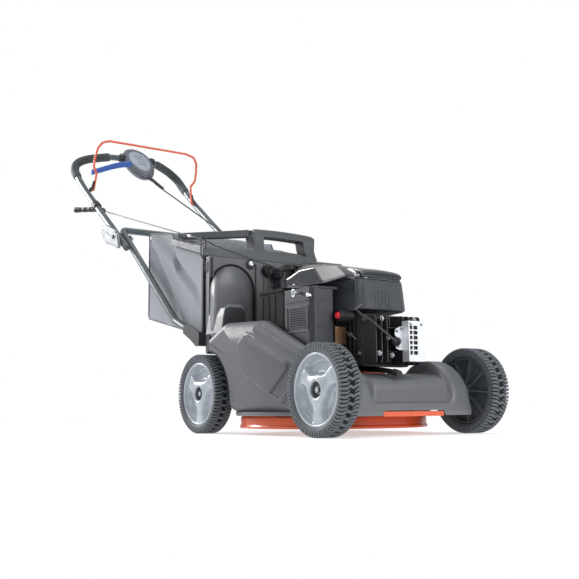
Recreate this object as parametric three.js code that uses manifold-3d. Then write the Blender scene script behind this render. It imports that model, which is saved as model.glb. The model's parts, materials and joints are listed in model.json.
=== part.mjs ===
// Walk-behind petrol lawn mower with a side duct and a rear catcher.
// Millimetres. +X is forward, +Y is the operator's left, +Z is up, and the wheels stand on z = 0.
// While it is built, x = 0 is the front wheel centre; the last lines move the footprint's centre to x = 0.
import * as THREE from 'three'
import { mergeVertices } from 'three/addons/utils/BufferGeometryUtils.js'
import Module from 'manifold-3d'

const wasm = await Module()
wasm.setup()

// ---- driving dimensions ----
const WHEEL = { radius: 105, width: 53, bead: 82.5, halfTrack: 228.5 }
const WHEELBASE = 530
const CUT = { radius: 241.5, x: -WHEELBASE / 2, lipZ: 16 }
const DECK_TOP = 114
const ENGINE_BASE = 153
const COVER = { radius: 250, bottom: 46, wall: 3, frontX: 47 }
const FENDER = { x: -62, z: 70, radius: 109, inner: 118, outer: 182 }
const BULKHEAD = { x: -590, thickness: 10, halfWidth: 195, bottom: 216, top: 492 }
const DOME = { y: -111, halfWidth: 91, springZ: 384, depth: 108 }
const SHROUD = { front: -58, back: -430, halfFront: 74, halfBack: 128, bottom: 299, rim: 373 }
const TUBE = { radius: 11, upperY: 224, lowerY: 200 }
const FOLD = { x: -1115, z: 627 }
const BAIL = { x: -1408, z: 850, y: 200, rod: 4 }
const GAP = 0.4
const FOOTPRINT_CENTRE = -735.4

// ---- solids, cuts and joins ----
const merged = (geometry) => {
  const bare = geometry.index ? geometry.toNonIndexed() : geometry.clone()
  bare.deleteAttribute('normal')
  bare.deleteAttribute('uv')
  const whole = mergeVertices(bare, 1e-3)
  const index = whole.index.array
  const kept = []
  for (let i = 0; i < index.length; i += 3) {
    const [a, b, c] = [index[i], index[i + 1], index[i + 2]]
    if (a !== b && b !== c && a !== c) kept.push(a, b, c)
  }
  whole.setIndex(kept)
  return whole
}

// Faces are turned outwards: a closed surface that faces out has a positive volume.
const outward = (geometry) => {
  const whole = merged(geometry)
  const index = whole.index.array
  const corner = [0, 1, 2].map(() => new THREE.Vector3())
  let volume = 0
  for (let i = 0; i < index.length; i += 3) {
    corner.forEach((point, k) => point.fromBufferAttribute(whole.attributes.position, index[i + k]))
    volume += corner[0].dot(corner[1].clone().cross(corner[2]))
  }
  if (volume < 0) {
    const flipped = []
    for (let i = 0; i < index.length; i += 3) flipped.push(index[i], index[i + 2], index[i + 1])
    whole.setIndex(flipped)
  }
  return whole
}

const toSolid = (geometry) => {
  const whole = outward(geometry)
  return new wasm.Manifold(new wasm.Mesh({
    numProp: 3,
    vertProperties: new Float32Array(whole.attributes.position.array),
    triVerts: new Uint32Array(whole.index.array),
  }))
}

const toGeometry = (solid) => {
  const mesh = solid.getMesh()
  const geometry = new THREE.BufferGeometry()
  geometry.setAttribute('position', new THREE.BufferAttribute(new Float32Array(mesh.vertProperties), 3))
  geometry.setIndex([...mesh.triVerts])
  return geometry
}

const join = (...pieces) => toGeometry(pieces.map(toSolid).reduce((sum, piece) => sum.add(piece)))
const cut = (body, ...tools) =>
  toGeometry(tools.reduce((rest, tool) => rest.subtract(toSolid(tool)), toSolid(body)))
const common = (a, b) => toGeometry(toSolid(a).intersect(toSolid(b)))

// ---- plain shapes, placed ----
const outline = (points) => new THREE.Shape(points.map(([a, b]) => new THREE.Vector2(a, b)))

const basis = (x, y, z) => new THREE.Matrix4().makeBasis(
  new THREE.Vector3(...x), new THREE.Vector3(...y), new THREE.Vector3(...z))

const slab = (shape, depth, curveSegments) =>
  new THREE.ExtrudeGeometry(shape, { depth, bevelEnabled: false, curveSegments })

// A shape drawn in (x, y), (x, z) or (y, z), pulled along the third axis from a to b.
const alongZ = (shape, a, b, curves = 6) => slab(shape, b - a, curves).translate(0, 0, a)
const alongY = (shape, a, b, curves = 6) =>
  slab(shape, b - a, curves).applyMatrix4(basis([1, 0, 0], [0, 0, 1], [0, -1, 0])).translate(0, b, 0)
const alongX = (shape, a, b, curves = 6) =>
  slab(shape, b - a, curves).applyMatrix4(basis([0, 1, 0], [0, 0, 1], [1, 0, 0])).translate(a, 0, 0)

const block = (x, y, z) => new THREE.BoxGeometry(x[1] - x[0], y[1] - y[0], z[1] - z[0])
  .translate((x[0] + x[1]) / 2, (y[0] + y[1]) / 2, (z[0] + z[1]) / 2)

// A round bar from point a to point b.
const bar = (a, b, radius, sides = 16, endRadius = radius) => {
  const from = new THREE.Vector3(...a)
  const run = new THREE.Vector3(...b).sub(from)
  const turn = new THREE.Quaternion().setFromUnitVectors(new THREE.Vector3(0, 1, 0), run.clone().normalize())
  const middle = from.clone().addScaledVector(run, 0.5)
  return new THREE.CylinderGeometry(endRadius, radius, run.length(), sides)
    .applyQuaternion(turn).translate(middle.x, middle.y, middle.z)
}

// A profile of (radius, height) points turned about an upright axis, or about a wheel's axis.
const closedProfile = (points) => [...points, points[0]].map(([r, h]) => new THREE.Vector2(r, h))
const turnedY = (points, segments) => new THREE.LatheGeometry(closedProfile(points), segments)
const turnedZ = (points, segments, x = 0, y = 0) =>
  turnedY(points, segments).applyMatrix4(basis([1, 0, 0], [0, 0, 1], [0, -1, 0])).translate(x, y, 0)

const mirroredY = (geometry) => outward(geometry.clone().scale(1, -1, 1))

// ---- tubes ----
// A route through listed points, stepped from point to point, so bends get steps and straights do not.
class Route extends THREE.Curve {
  constructor(points) {
    super()
    this.points = points
  }

  spot(u) {
    return Math.round(u * (this.points.length - 1))
  }

  getPointAt(u, target = new THREE.Vector3()) {
    return target.copy(this.points[this.spot(u)])
  }

  getTangentAt(u, target = new THREE.Vector3()) {
    const i = this.spot(u)
    const last = this.points.length - 1
    const before = this.points[Math.max(i - 1, 0)]
    const after = this.points[Math.min(i + 1, last)]
    const here = this.points[i]
    const into = here.clone().sub(before).normalize()
    const out = after.clone().sub(here).normalize()
    return target.copy(into).add(out).normalize()
  }
}

// Points with the corners between straights rounded to arcs of the given radius.
const roundedRoute = (list, radius, arcSteps = 4) => {
  const points = list.map((p) => new THREE.Vector3(...p))
  const route = [points[0]]
  for (let i = 1; i < points.length - 1; i++) {
    const back = points[i - 1].clone().sub(points[i])
    const ahead = points[i + 1].clone().sub(points[i])
    const reach = Math.min(radius * Math.tan((Math.PI - back.angleTo(ahead)) / 2),
      back.length() * 0.48, ahead.length() * 0.48)
    const start = points[i].clone().addScaledVector(back.normalize(), reach)
    const end = points[i].clone().addScaledVector(ahead.normalize(), reach)
    const bend = new THREE.QuadraticBezierCurve3(start, points[i], end)
    for (let k = 0; k <= arcSteps; k++) route.push(bend.getPoint(k / arcSteps))
  }
  route.push(points[points.length - 1])
  return route
}

const roundSection = (radius, sides, bore = 0) => {
  const ring = (r) => Array.from({ length: sides }, (_, i) => {
    const angle = (2 * Math.PI * i) / sides
    return new THREE.Vector2(r * Math.cos(angle), r * Math.sin(angle))
  })
  const shape = new THREE.Shape(ring(radius))
  if (bore) shape.holes.push(new THREE.Path(ring(bore)))
  return shape
}

const tube = (points, radius, sides = 10, bore = 0) => new THREE.ExtrudeGeometry(
  roundSection(radius, sides, bore), { steps: points.length - 1, extrudePath: new Route(points) })

const smoothRoute = (list, steps) =>
  new THREE.CatmullRomCurve3(list.map((p) => new THREE.Vector3(...p)), false, 'centripetal')
    .getSpacedPoints(steps)

// ---- the parts list ----
const mower = new THREE.Group()

const finish = (color, roughness, metalness = 0) =>
  new THREE.MeshStandardMaterial({ color, roughness, metalness })
const LOOK = {
  deck: () => finish(0xde643c, 0.35, 0.3),
  cover: () => finish(0x64676a, 0.55),
  silver: () => finish(0xbec6cc, 0.4),
  tyre: () => finish(0x3c4146, 0.85),
  darkPlastic: () => finish(0x45494e, 0.6),
  gloss: () => finish(0x14171b, 0.15),
  shroud: () => finish(0x5f6164, 0.5),
  castBlack: () => finish(0x1a1b1d, 0.5, 0.3),
  steel: () => finish(0xb8babd, 0.3, 0.9),
  tubePaint: () => finish(0x50585c, 0.45, 0.2),
  foam: () => finish(0x2d3234, 0.9),
  bail: () => finish(0xde5f37, 0.4, 0.2),
  blue: () => finish(0x3264be, 0.4),
  fabric: () => finish(0x7d828a, 0.9),
  box: () => finish(0x3c4148, 0.45),
  red: () => finish(0xd22832, 0.35),
  brass: () => finish(0xa8875a, 0.4, 0.8),
  cable: () => finish(0x1c1d1f, 0.5),
}

const add = (name, geometry, look) => {
  const mesh = new THREE.Mesh(outward(geometry), look())
  mesh.name = name
  mower.add(mesh)
}

// ---- wheels: tyre, rim with ribs, and the three-spoke cover outside ----
const tyreShape = () => {
  const half = WHEEL.width / 2
  const r = WHEEL.radius
  return turnedY([
    [WHEEL.bead, -half + 5], [93, -half], [r - 4, -half + 2], [r, -half + 8],
    [r, half - 8], [r - 4, half - 2], [93, half], [WHEEL.bead, half - 5],
  ], 24)
}

const rimShape = () => {
  const outside = WHEEL.bead * Math.cos(Math.PI / 24) - GAP
  const barrel = turnedY([
    [8, -25], [8, 8], [16, 8], [16, 6], [77, 6], [77, 15], [outside, 15], [outside, -20],
    [78, -20], [78, 2], [16, 2], [16, -25],
  ], 20)
  const ribs = Array.from({ length: 8 }, (_, i) =>
    block([14, 78.5], [-15, 3], [-1.5, 1.5]).rotateY((i * Math.PI) / 4))
  return join(barrel, ...ribs)
}

const coverShape = () => {
  const disc = new THREE.Shape().absarc(0, 0, 76, 0, 2 * Math.PI)
  disc.holes.push(new THREE.Path().absarc(0, 0, 14, 0, 2 * Math.PI))
  for (let i = 0; i < 3; i++) {
    const middle = Math.PI / 6 + (i * 2 * Math.PI) / 3
    const window = new THREE.Path()
    window.absarc(0, 0, 66, middle - 0.72, middle + 0.72, false)
    window.absarc(0, 0, 32, middle + 0.42, middle - 0.42, true)
    window.closePath()
    disc.holes.push(window)
  }
  return alongY(disc, 8 + GAP, 21, 5)
}

const wheels = (side, end, x) => {
  const place = (geometry) => {
    const facing = side === 'left' ? geometry : geometry.rotateZ(Math.PI)
    const y = side === 'left' ? WHEEL.halfTrack : -WHEEL.halfTrack
    return facing.translate(x, y, WHEEL.radius)
  }
  add(`tyre_${end}_${side}`, place(tyreShape()), LOOK.tyre)
  add(`wheel_rim_${end}_${side}`, place(rimShape()), LOOK.darkPlastic)
  add(`wheel_cover_${end}_${side}`, place(coverShape()), LOOK.silver)
}

for (const side of ['left', 'right']) {
  wheels(side, 'front', 0)
  wheels(side, 'rear', -WHEELBASE)
}

// Each axle is a cranked rod: a cross rod that turns on the deck, an arm at each end, and a spindle.
const AXLE = {
  front: { x: 0, rodX: -95, rodZ: 129 },
  rear: { x: -WHEELBASE, rodX: 95 - WHEELBASE, rodZ: 129 },
  rod: 6, arm: 6.5, armY: 193, spindleEnd: 246,
}
const axle = ({ x, rodX, rodZ }) => {
  const pieces = [bar([rodX, -AXLE.armY, rodZ], [rodX, AXLE.armY, rodZ], AXLE.rod, 12)]
  for (const s of [-1, 1]) {
    const y = s * AXLE.armY
    pieces.push(bar([rodX, y, rodZ], [x, y, WHEEL.radius], AXLE.arm, 8))
    pieces.push(bar([x, y - s * 6, WHEEL.radius], [x, s * AXLE.spindleEnd, WHEEL.radius], 7, 12))
  }
  return join(...pieces)
}
add('front_axle', axle(AXLE.front), LOOK.steel)
add('rear_axle', axle(AXLE.rear), LOOK.steel)

// ---- deck: a pressed steel blade housing with an engine seat on top and a lip in front ----
const deckShell = () => {
  const r = CUT.radius
  const shell = turnedZ([
    [r, CUT.lipZ], [r, CUT.lipZ + 10], [r - 6, CUT.lipZ + 13], [r - 7, 92], [r - 24, DECK_TOP],
    [112, DECK_TOP], [104, ENGINE_BASE - 2], [22, ENGINE_BASE - 2],
    [22, ENGINE_BASE - 5], [101, ENGINE_BASE - 5],
    [109, DECK_TOP - 3], [r - 25, DECK_TOP - 3], [r - 10, 91], [r - 10, CUT.lipZ],
  ], 32, CUT.x)
  const lip = block([-40, 44], [-92, 92], [50, 53])
  const fold = block([41, 44], [-92, 92], [44, 53])
  const outlet = block([CUT.x - 60, CUT.x + 60], [-260, -190], [45, 104])
  return join(cut(shell, outlet), cut(join(lip, fold), bar([CUT.x, 0, 0], [CUT.x, 0, 90], r - 8, 40)))
}
add('deck_shell', deckShell(), LOOK.deck)

// ---- deck cover: one moulding with a skirt, a front panel and a fender bulge inside each front wheel ----
const coverBody = (inset) => {
  const skirt = turnedZ([
    [0, COVER.bottom - (inset ? 20 : 0)], [COVER.radius - inset, COVER.bottom - (inset ? 20 : 0)],
    [COVER.radius - inset, 74], [238 - inset, 108 - inset], [206 - inset, 132 - inset],
    [150, 146 - inset], [0, 146 - inset],
  ], 40, CUT.x)
  const front = COVER.frontX - inset
  const panel = alongY(outline([
    [-200, 40], [front, 40], [front, 72], [front - 7, 76], [front - 9, 118], [front - 18, 131 - inset],
    [-60, 148 - inset], [-200, 148 - inset],
  ]), -FENDER.inner - 6, FENDER.inner + 6)
  const arc = new THREE.Shape().absarc(FENDER.x, FENDER.z, FENDER.radius - inset, 0, Math.PI)
  arc.lineTo(FENDER.x - FENDER.radius + inset, 40)
  arc.lineTo(FENDER.x + FENDER.radius - inset, 40)
  const fender = alongY(arc, FENDER.inner + inset, FENDER.outer - inset, 10)
  return join(skirt, panel, fender, mirroredY(fender))
}

const deckCover = () => {
  const shell = cut(coverBody(0), coverBody(COVER.wall))
  const engineSeat = bar([CUT.x, 0, 100], [CUT.x, 0, 200], 128, 24)
  const below = block([-600, 100], [-300, 300], [20, COVER.bottom])
  const frontNotch = block([30, 60], [-95, 95], [40, 58])
  const ductOpening = block([CUT.x - 62, CUT.x + 62], [-300, -170], [50, 200])
  const rodHoles = [AXLE.front, AXLE.rear].map(({ rodX, rodZ }) =>
    bar([rodX, -300, rodZ], [rodX, 300, rodZ], AXLE.rod + 1, 12))
  return cut(shell, engineSeat, below, frontNotch, ductOpening, ...rodHoles)
}
add('deck_cover', deckCover(), LOOK.cover)

// ---- side duct: the scoop on the right that carries clippings up from the deck ----
// It has a wheel arch at each end, and behind the heel of the rear arch it slants down to its foot.
// The arches are centred between the wheels' lowest and highest positions, and clear both.
const DUCT = {
  outer: -252, inner: -184, topBack: 282, topFront: 190, wall: 3, rear: -505, heelZ: 160, footX: -300,
}
const ARCH = { radius: WHEEL.radius + 16, z: 95, shift: 4 }
const ductOutline = (inset) => {
  const radius = ARCH.radius + inset
  const frontX = -ARCH.shift
  const rearX = ARCH.shift - WHEELBASE
  const bottom = COVER.bottom + inset
  const low = Math.asin((ARCH.z - bottom) / radius)
  const frontTop = Math.asin((DUCT.topFront - inset - ARCH.z) / radius)
  const rearTop = Math.acos((DUCT.rear + inset - rearX) / radius)
  const heel = Math.asin((DUCT.heelZ - ARCH.z) / radius)
  const shape = new THREE.Shape()
  shape.moveTo(DUCT.footX + inset * 1.5, bottom)
  shape.lineTo(frontX - radius * Math.cos(low), bottom)
  shape.absarc(frontX, ARCH.z, radius, Math.PI + low, Math.PI - frontTop, true)
  shape.lineTo(-290, DUCT.topBack - inset)
  shape.lineTo(-420, DUCT.topBack - 10 - inset)
  shape.lineTo(DUCT.rear + inset, 255 - inset)
  shape.absarc(rearX, ARCH.z, radius, rearTop, heel, true)
  return shape
}

const sideDuct = () => {
  const section = outline([
    [DUCT.outer, 40], [DUCT.outer, 150], [DUCT.outer + 14, 215],
    [DUCT.outer + 52, 300], [DUCT.inner, 300], [DUCT.inner, 40],
  ])
  const inside = outline([
    [DUCT.outer + 3, 40], [DUCT.outer + 3, 150], [DUCT.outer + 17, 214],
    [DUCT.outer + 54, 296], [DUCT.inner - 3, 296], [DUCT.inner - 3, 40],
  ])
  const body = common(alongY(ductOutline(0), DUCT.outer, DUCT.inner, 8), alongX(section, -560, 0))
  const core = alongY(ductOutline(DUCT.wall), DUCT.outer + 3, DUCT.inner - 3, 8)
  const hollow = common(core, alongX(inside, -560, 0))
  const fromDeck = block([CUT.x - 60, CUT.x + 60], [-230, -150], [60, 125])
  const toDome = block([-480, -372], [-200, -180], [220, 300])
  const clearOfCover = bar([CUT.x, 0, 0], [CUT.x, 0, 78], COVER.radius + GAP, 40)
  const upperClear = bar([CUT.x, 0, 77], [CUT.x, 0, 114], COVER.radius + GAP, 40, 238)
  const topClear = bar([CUT.x, 0, 113], [CUT.x, 0, 140], 238, 40, 200)
  return cut(cut(body, hollow), fromDeck, toDome, clearOfCover, upperClear, topClear)
}
add('side_duct', sideDuct(), LOOK.cover)

// ---- duct tower: the domed chute from the side duct up to the catcher's mouth ----
const archShape = (half, spring, foot, y = DOME.y) => {
  const shape = new THREE.Shape()
  shape.moveTo(y - half, foot)
  shape.lineTo(y + half, foot)
  shape.lineTo(y + half, spring)
  shape.absarc(y, spring, half, 0, Math.PI)
  return shape
}

const ductTower = () => {
  const back = BULKHEAD.x + BULKHEAD.thickness + GAP
  const skin = (inset) => {
    const front = back + DOME.depth - inset
    const arch = alongX(archShape(DOME.halfWidth - inset, DOME.springZ, 240), back - inset, front, 12)
    const slope = alongY(outline([
      [back - 10, 240], [front, 240], [front, 330], [front - 22, 400], [back + 26, DOME.springZ + 78 - inset],
      [back + 4, DOME.springZ + 100], [back - 10, DOME.springZ + 100],
    ]), -260, 0)
    return common(arch, slope)
  }
  const hollow = skin(4)
  const besideDuct = alongX(outline([
    [-300, 0], [-300, 310], [DUCT.inner - 20, 310], [DUCT.inner + GAP, 300], [DUCT.inner + GAP, 0],
  ]), -510, -300)
  const ductMouth = block([-470, -376], [-220, -120], [246, 300])
  return cut(skin(0), hollow.translate(0, 0, -6), besideDuct, ductMouth)
}
add('duct_tower', ductTower(), LOOK.cover)

// ---- rear bulkhead: the upright plate that the catcher hangs on, open behind the duct tower ----
const rearBulkhead = () => {
  const { x, thickness, halfWidth, bottom, top } = BULKHEAD
  const plate = alongX(outline([
    [-halfWidth, bottom], [halfWidth, bottom], [halfWidth, top - 12], [halfWidth - 12, top],
    [-halfWidth + 12, top], [-halfWidth, top - 12],
  ]), x, x + thickness)
  const mouth = alongX(archShape(DOME.halfWidth - 12, DOME.springZ - 4, 262), x - 10, x + thickness + 10, 12)
  const foot = block([x, -490], [-150, 150], [119, 125])
  const web = block([x, x + thickness], [-150, 150], [119, bottom + 2])
  return cut(join(plate, web, foot), mouth)
}
add('rear_bulkhead', rearBulkhead(), LOOK.cover)

// The cover over the transmission's left end stands beside the bulkhead, level with the catcher's lip.
const leftRearCover = () => {
  const x0 = BULKHEAD.x + BULKHEAD.thickness + GAP
  const body = (inset) => alongY(outline([
    [x0 + (inset ? -4 : 0), 222 - inset], [-500 - inset, 222 - inset], [-512 - inset, 380],
    [-528 - inset, 498 - inset], [x0 + (inset ? -4 : 0), 498 - inset],
  ]), 150 + inset, 248 - inset)
  return cut(body(0), body(4).translate(0, 0, -8))
}
add('left_rear_cover', leftRearCover(), LOOK.cover)

// ---- blade: crankshaft with its flywheel, blade holder and blade, all on the engine's upright axis ----
const crankshaft = () => turnedZ([
  [0, 62], [11, 62], [11, 122], [26, 122], [26, 130], [11, 130], [11, 306], [70, 306], [70, 318],
  [11, 318], [11, 330], [0, 330],
], 16, CUT.x)
add('crankshaft', crankshaft(), LOOK.steel)

const bladeHolder = () => turnedZ([
  [0, 36], [9, 36], [9, 40.6], [30, 40.6], [30, 46], [18, 46], [18, 61.6], [0, 61.6],
], 16, CUT.x)
add('blade_holder', bladeHolder(), LOOK.castBlack)

const BLADE = { bottom: 36.4, top: 40.2, lift: 12 }
const blade = () => {
  const plan = outline([
    [-228, -14], [-214, -26], [-130, -26], [130, -26], [228, -26], [228, 14], [214, 26], [130, 26],
    [-130, 26], [-228, 26],
  ])
  const flat = alongZ(plan, BLADE.bottom, BLADE.top)
  // The trailing edge of each end is turned up to lift the grass.
  const wing = (x0, x1, y0, y1) => alongX(outline([
    [y0, BLADE.bottom], [y1, BLADE.bottom],
    [y1, BLADE.top + (y1 > 0 ? BLADE.lift : 0)], [y0, BLADE.top + (y0 < 0 ? BLADE.lift : 0)],
  ]), x0, x1)
  const wings = [wing(140, 222, 8, 26), wing(-222, -140, -26, -8)]
  const hole = bar([0, 0, 30], [0, 0, 50], 9.4, 16)
  return cut(join(flat, ...wings), hole).translate(CUT.x, 0, 0)
}
add('blade', blade(), LOOK.steel)

// ---- engine: upright crankcase, and a finned cylinder pointing forward with its head in front ----
const ENGINE = { halfBarrel: 72, barrelFrom: -176, headFrom: -74, headTo: -4, bottom: 166, top: 282 }

const crankcase = () => {
  const base = turnedZ([[14, ENGINE_BASE], [100, ENGINE_BASE], [100, 162], [90, 166], [90, 270], [76, 284],
    [14, 284]], 24, CUT.x)
  const { barrelFrom, headFrom, halfBarrel, bottom, top } = ENGINE
  const barrel = block([barrelFrom - 40, headFrom - GAP], [-52, 52], [bottom + 16, top - 14])
  const fins = Array.from({ length: 6 }, (_, i) => {
    const x = barrelFrom + 6 + i * 17
    return block([x, x + 4], [-halfBarrel, halfBarrel], [bottom, top])
  })
  const bore = bar([CUT.x, 0, 120], [CUT.x, 0, 300], 13, 16)
  return cut(join(base, barrel, ...fins), bore)
}
add('crankcase', crankcase(), LOOK.castBlack)

const cylinderHead = () => {
  const { headFrom, headTo, halfBarrel, bottom, top } = ENGINE
  const plate = block([headFrom, headFrom + 24], [-halfBarrel, halfBarrel], [bottom - 4, top + 4])
  const fins = Array.from({ length: 9 }, (_, i) => {
    const y = -halfBarrel + 2 + i * 17
    const length = Math.abs(i - 3.5) < 1 ? headTo - 30 : headTo
    return block([headFrom + 10, length], [y, y + 4], [bottom, top])
  })
  return join(plate, ...fins)
}
add('cylinder_head', cylinderHead(), LOOK.castBlack)

const shroudPlan = (inset) => {
  const { front, back, halfFront, halfBack } = SHROUD
  const half = [
    [front - inset, halfFront - 14 - inset], [front - 14 - inset, halfFront - inset], [-190, 104 - inset],
    [-300, halfBack - inset], [back + 40, halfBack - inset], [back + inset, halfBack - 50],
  ]
  return outline([...half, ...half.map(([x, y]) => [x, -y]).reverse()])
}

const blowerHousing = () => {
  const { bottom, rim } = SHROUD
  const outer = alongZ(shroudPlan(0), bottom, rim)
  const inner = alongZ(shroudPlan(3), bottom - 5, rim + 5)
  const floor = cut(alongZ(shroudPlan(1), bottom, bottom + 3), bar([CUT.x, 0, 280], [CUT.x, 0, 320], 50, 24))
  return join(cut(outer, inner), floor)
}
add('blower_housing', blowerHousing(), LOOK.shroud)

// The top cover rises from the front to a rounded back, higher along its middle.
const topCover = () => {
  const side = (inset) => alongY(outline([
    [SHROUD.front - inset, SHROUD.rim + GAP - (inset ? 5 : 0)],
    [SHROUD.front - 6 - inset, SHROUD.rim + 18 - inset],
    [-100, 400 - inset], [-160, 424 - inset], [-260, 442 - inset], [-340, 446 - inset], [-400, 440 - inset],
    [-452 + inset, 414 - inset], [-462 + inset, 396 - inset], [-430, SHROUD.rim + 20 - (inset ? 5 : 0)],
    [-424, SHROUD.rim + GAP - (inset ? 5 : 0)],
  ]), -170, 170)
  const section = (inset) => alongX(outline([
    [-132 + inset, 340], [132 - inset, 340], [132 - inset, 376],
    [112 - inset, 412 - inset], [60, 440 - inset],
    [0, 447 - inset], [-60, 440 - inset], [-112 + inset, 412 - inset], [-132 + inset, 376],
  ]), -480, 0)
  const plan = (inset) => {
    const half = [[SHROUD.front - inset, 60], [SHROUD.front - 14 - inset, 74 - inset], [-190, 106 - inset],
      [-300, 132 - inset], [-420, 132 - inset], [-470 + inset, 90 - inset]]
    return alongZ(outline([...half, ...half.map(([x, y]) => [x, -y]).reverse()]), 330, 460)
  }
  const skin = (inset) => common(common(side(inset), section(inset)), plan(inset))
  const capSeat = bar([-360, -70, 380], [-360, -70, 460], 22, 20)
  return cut(skin(0), skin(3), capSeat)
}
add('engine_top_cover', topCover(), LOOK.gloss)

add('fuel_cap', turnedZ([[0, 402], [14, 402], [14, 428], [20.5, 428], [20.5, 444], [17, 447], [0, 447]],
  18, -360, -70), LOOK.castBlack)

// ---- exhaust ----
const MUFFLER = { x: [-2, 22], y: [9, 57], z: [172, 268] }
add('muffler', block([2, 17], [14, 52], [178, 262]), LOOK.steel)

const mufflerGuard = () => {
  const { x, y, z } = MUFFLER
  const shell = cut(block(x, y, z), block([x[0] - 5, x[1] - 2], [y[0] + 2, y[1] - 2], [z[0] + 2, z[1] - 2]))
  const slots = Array.from({ length: 5 }, (_, i) =>
    block([x[1] - 6, x[1] + 5], [y[0] + 8, y[1] - 8], [z[0] + 14 + i * 15, z[0] + 20 + i * 15]))
  return cut(shell, ...slots)
}
add('muffler_guard', mufflerGuard(), LOOK.steel)

// ---- ignition ----
add('spark_plug_boot', bar([-29, -6, 222], [14, -16, 218], 9, 12), LOOK.cable)
add('ignition_lead', tube(smoothRoute([
  [13, -26.6, 219], [9, -40, 229], [4, -60, 246], [-4, -82, 264], [-34, -88, 282], [-60, -84, 297],
], 14), 3, 8), LOOK.cable)

// ---- right side of the engine: air filter box, carburettor, primer, battery and key ----
const AIR_BOX = { x: [-222, -106], y: [-180, -116], z: [214, 352] }
const airFilterBox = () => {
  const [x0, x1] = AIR_BOX.x
  const [y0, y1] = AIR_BOX.y
  const plan = outline([
    [x0, y0 + 4], [x0 + 4, y0], [x1 - 18, y0], [x1 - 5, y0 + 5], [x1, y0 + 18], [x1, y1], [x0, y1],
  ])
  return alongZ(plan, ...AIR_BOX.z)
}
add('air_filter_box', airFilterBox(), LOOK.box)

const carburettor = () => join(
  block([-150, -104], [-112, -78], [214, 262]),
  bar([-127, -95, 216], [-127, -95, 196], 15, 14),
  bar([-127, -100, 238], [-127, -76, 238], 12, 12),
)
add('carburettor', carburettor(), LOOK.brass)

const PRIMER = { x: -92, z: 284, face: -114 }
add('primer_housing', cut(
  bar([PRIMER.x, -84, PRIMER.z], [PRIMER.x, PRIMER.face, PRIMER.z], 14, 18),
  bar([PRIMER.x, -94, PRIMER.z], [PRIMER.x, -130, PRIMER.z], 10, 18)), LOOK.castBlack)
add('primer_bulb',
  bar([PRIMER.x, PRIMER.face + 16, PRIMER.z], [PRIMER.x, PRIMER.face - 6, PRIMER.z], 9.5, 18, 7), LOOK.red)

add('battery', join(
  block([-336, -226], [-178, -138], [254, 354]),
  block([-338, -224], [-180, -136], [352, 362]),
), LOOK.castBlack)

const KEY = { x: -150, y: -196, z: 340 }
add('ignition_key', join(
  bar([KEY.x, KEY.y + 15.5, KEY.z], [KEY.x, KEY.y - 4, KEY.z], 4, 10),
  bar([KEY.x, KEY.y - 4, KEY.z], [KEY.x, KEY.y - 8, KEY.z], 9, 16),
), LOOK.steel)

add('oil_drain_tube', join(
  tube(smoothRoute([[-158, -20, 157], [-100, -24, 156], [-30, -32, 153], [30, -38, 144]], 6), 6, 8),
  bar([24, -37.5, 144], [40, -39, 141], 8, 12),
), LOOK.castBlack)

// ---- drive to the rear wheels: gearbox on the rear axle line with a belt from the crankshaft ----
const GEARBOX = { x: -536, y: 60 }
add('gearbox', join(
  block([-568, -506], [20, 100], [146.4, 196]),
  bar([GEARBOX.x, GEARBOX.y, 190], [GEARBOX.x, GEARBOX.y, 206], 30, 20),
), LOOK.castBlack)

// The cutting-height lever stands on the rear axle's rod, inside the left wheel, and turns with it.
add('height_lever', join(
  tube(roundedRoute([[-435, 178, 135.6], [-434, 178, 214], [-428, 226, 244], [-420, 236, 300]], 14), 5, 8),
  bar([-421, 235.5, 294], [-415, 240, 326], 9, 12, 7),
), LOOK.darkPlastic)

// ---- handle: brackets, lower tube, upper tube with its grips and controls ----
for (const [side, s] of [['left', 1], ['right', -1]]) {
  const web = alongY(outline([
    [-591, 238], [-591, 276], [-612, 286], [-664, 304], [-684, 300], [-684, 280], [-640, 258], [-608, 238],
  ]), 212, 216)
  const flange = block([-595, -591], [150, 216], [238, 276])
  const bracket = join(web, flange)
  add(`handle_bracket_${side}`, s > 0 ? bracket : mirroredY(bracket), LOOK.castBlack)
}

const lowerHandle = () => {
  const y = TUBE.lowerY
  const side = [[-600, y, 262], [-679, y, 289], [-762, y, 323], [FOLD.x - 22, y, FOLD.z + 18]]
  const corner = [FOLD.x - 42, y - 6, FOLD.z + 34]
  const right = [...side, corner].map(([x, yy, z]) => [x, -yy, z])
  return tube(roundedRoute([...right, ...[...side, corner].reverse()], 30, 3), TUBE.radius, 8)
}
add('lower_handle', lowerHandle(), LOOK.tubePaint)

// Half of the upper handle, from the foot of a leg to the middle of the crossbar.
const UPPER_HALF = [
  [-1060, TUBE.upperY, 584], [-1390, TUBE.upperY, 824], [-1500, TUBE.upperY, 914],
  [-1532, TUBE.upperY - 1, 943],
  [-1553, 214, 972], [-1560, 194, 992], [-1552, 166, 1004], [-1532, 130, 1010], [-1512, 96, 1013],
  [-1490, 56, 1010], [-1478, 20, 1007],
]
const upperRoute = () => {
  const left = UPPER_HALF
  const right = UPPER_HALF.map(([x, y, z]) => [x, -y, z])
  return [...right, ...left.slice().reverse()].map((p) => new THREE.Vector3(...p))
}
const stretch = (from, to) => upperRoute().slice(from, to)
add('upper_handle', tube(upperRoute(), TUBE.radius, 10), LOOK.tubePaint)

const GRIP = { radius: 16, bore: TUBE.radius / Math.cos(Math.PI / 10) + GAP }
add('grip_right', tube(stretch(2, 9), GRIP.radius, 10, GRIP.bore), LOOK.foam)
add('grip_left', tube(stretch(13, 20), GRIP.radius, 10, GRIP.bore), LOOK.foam)

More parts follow.
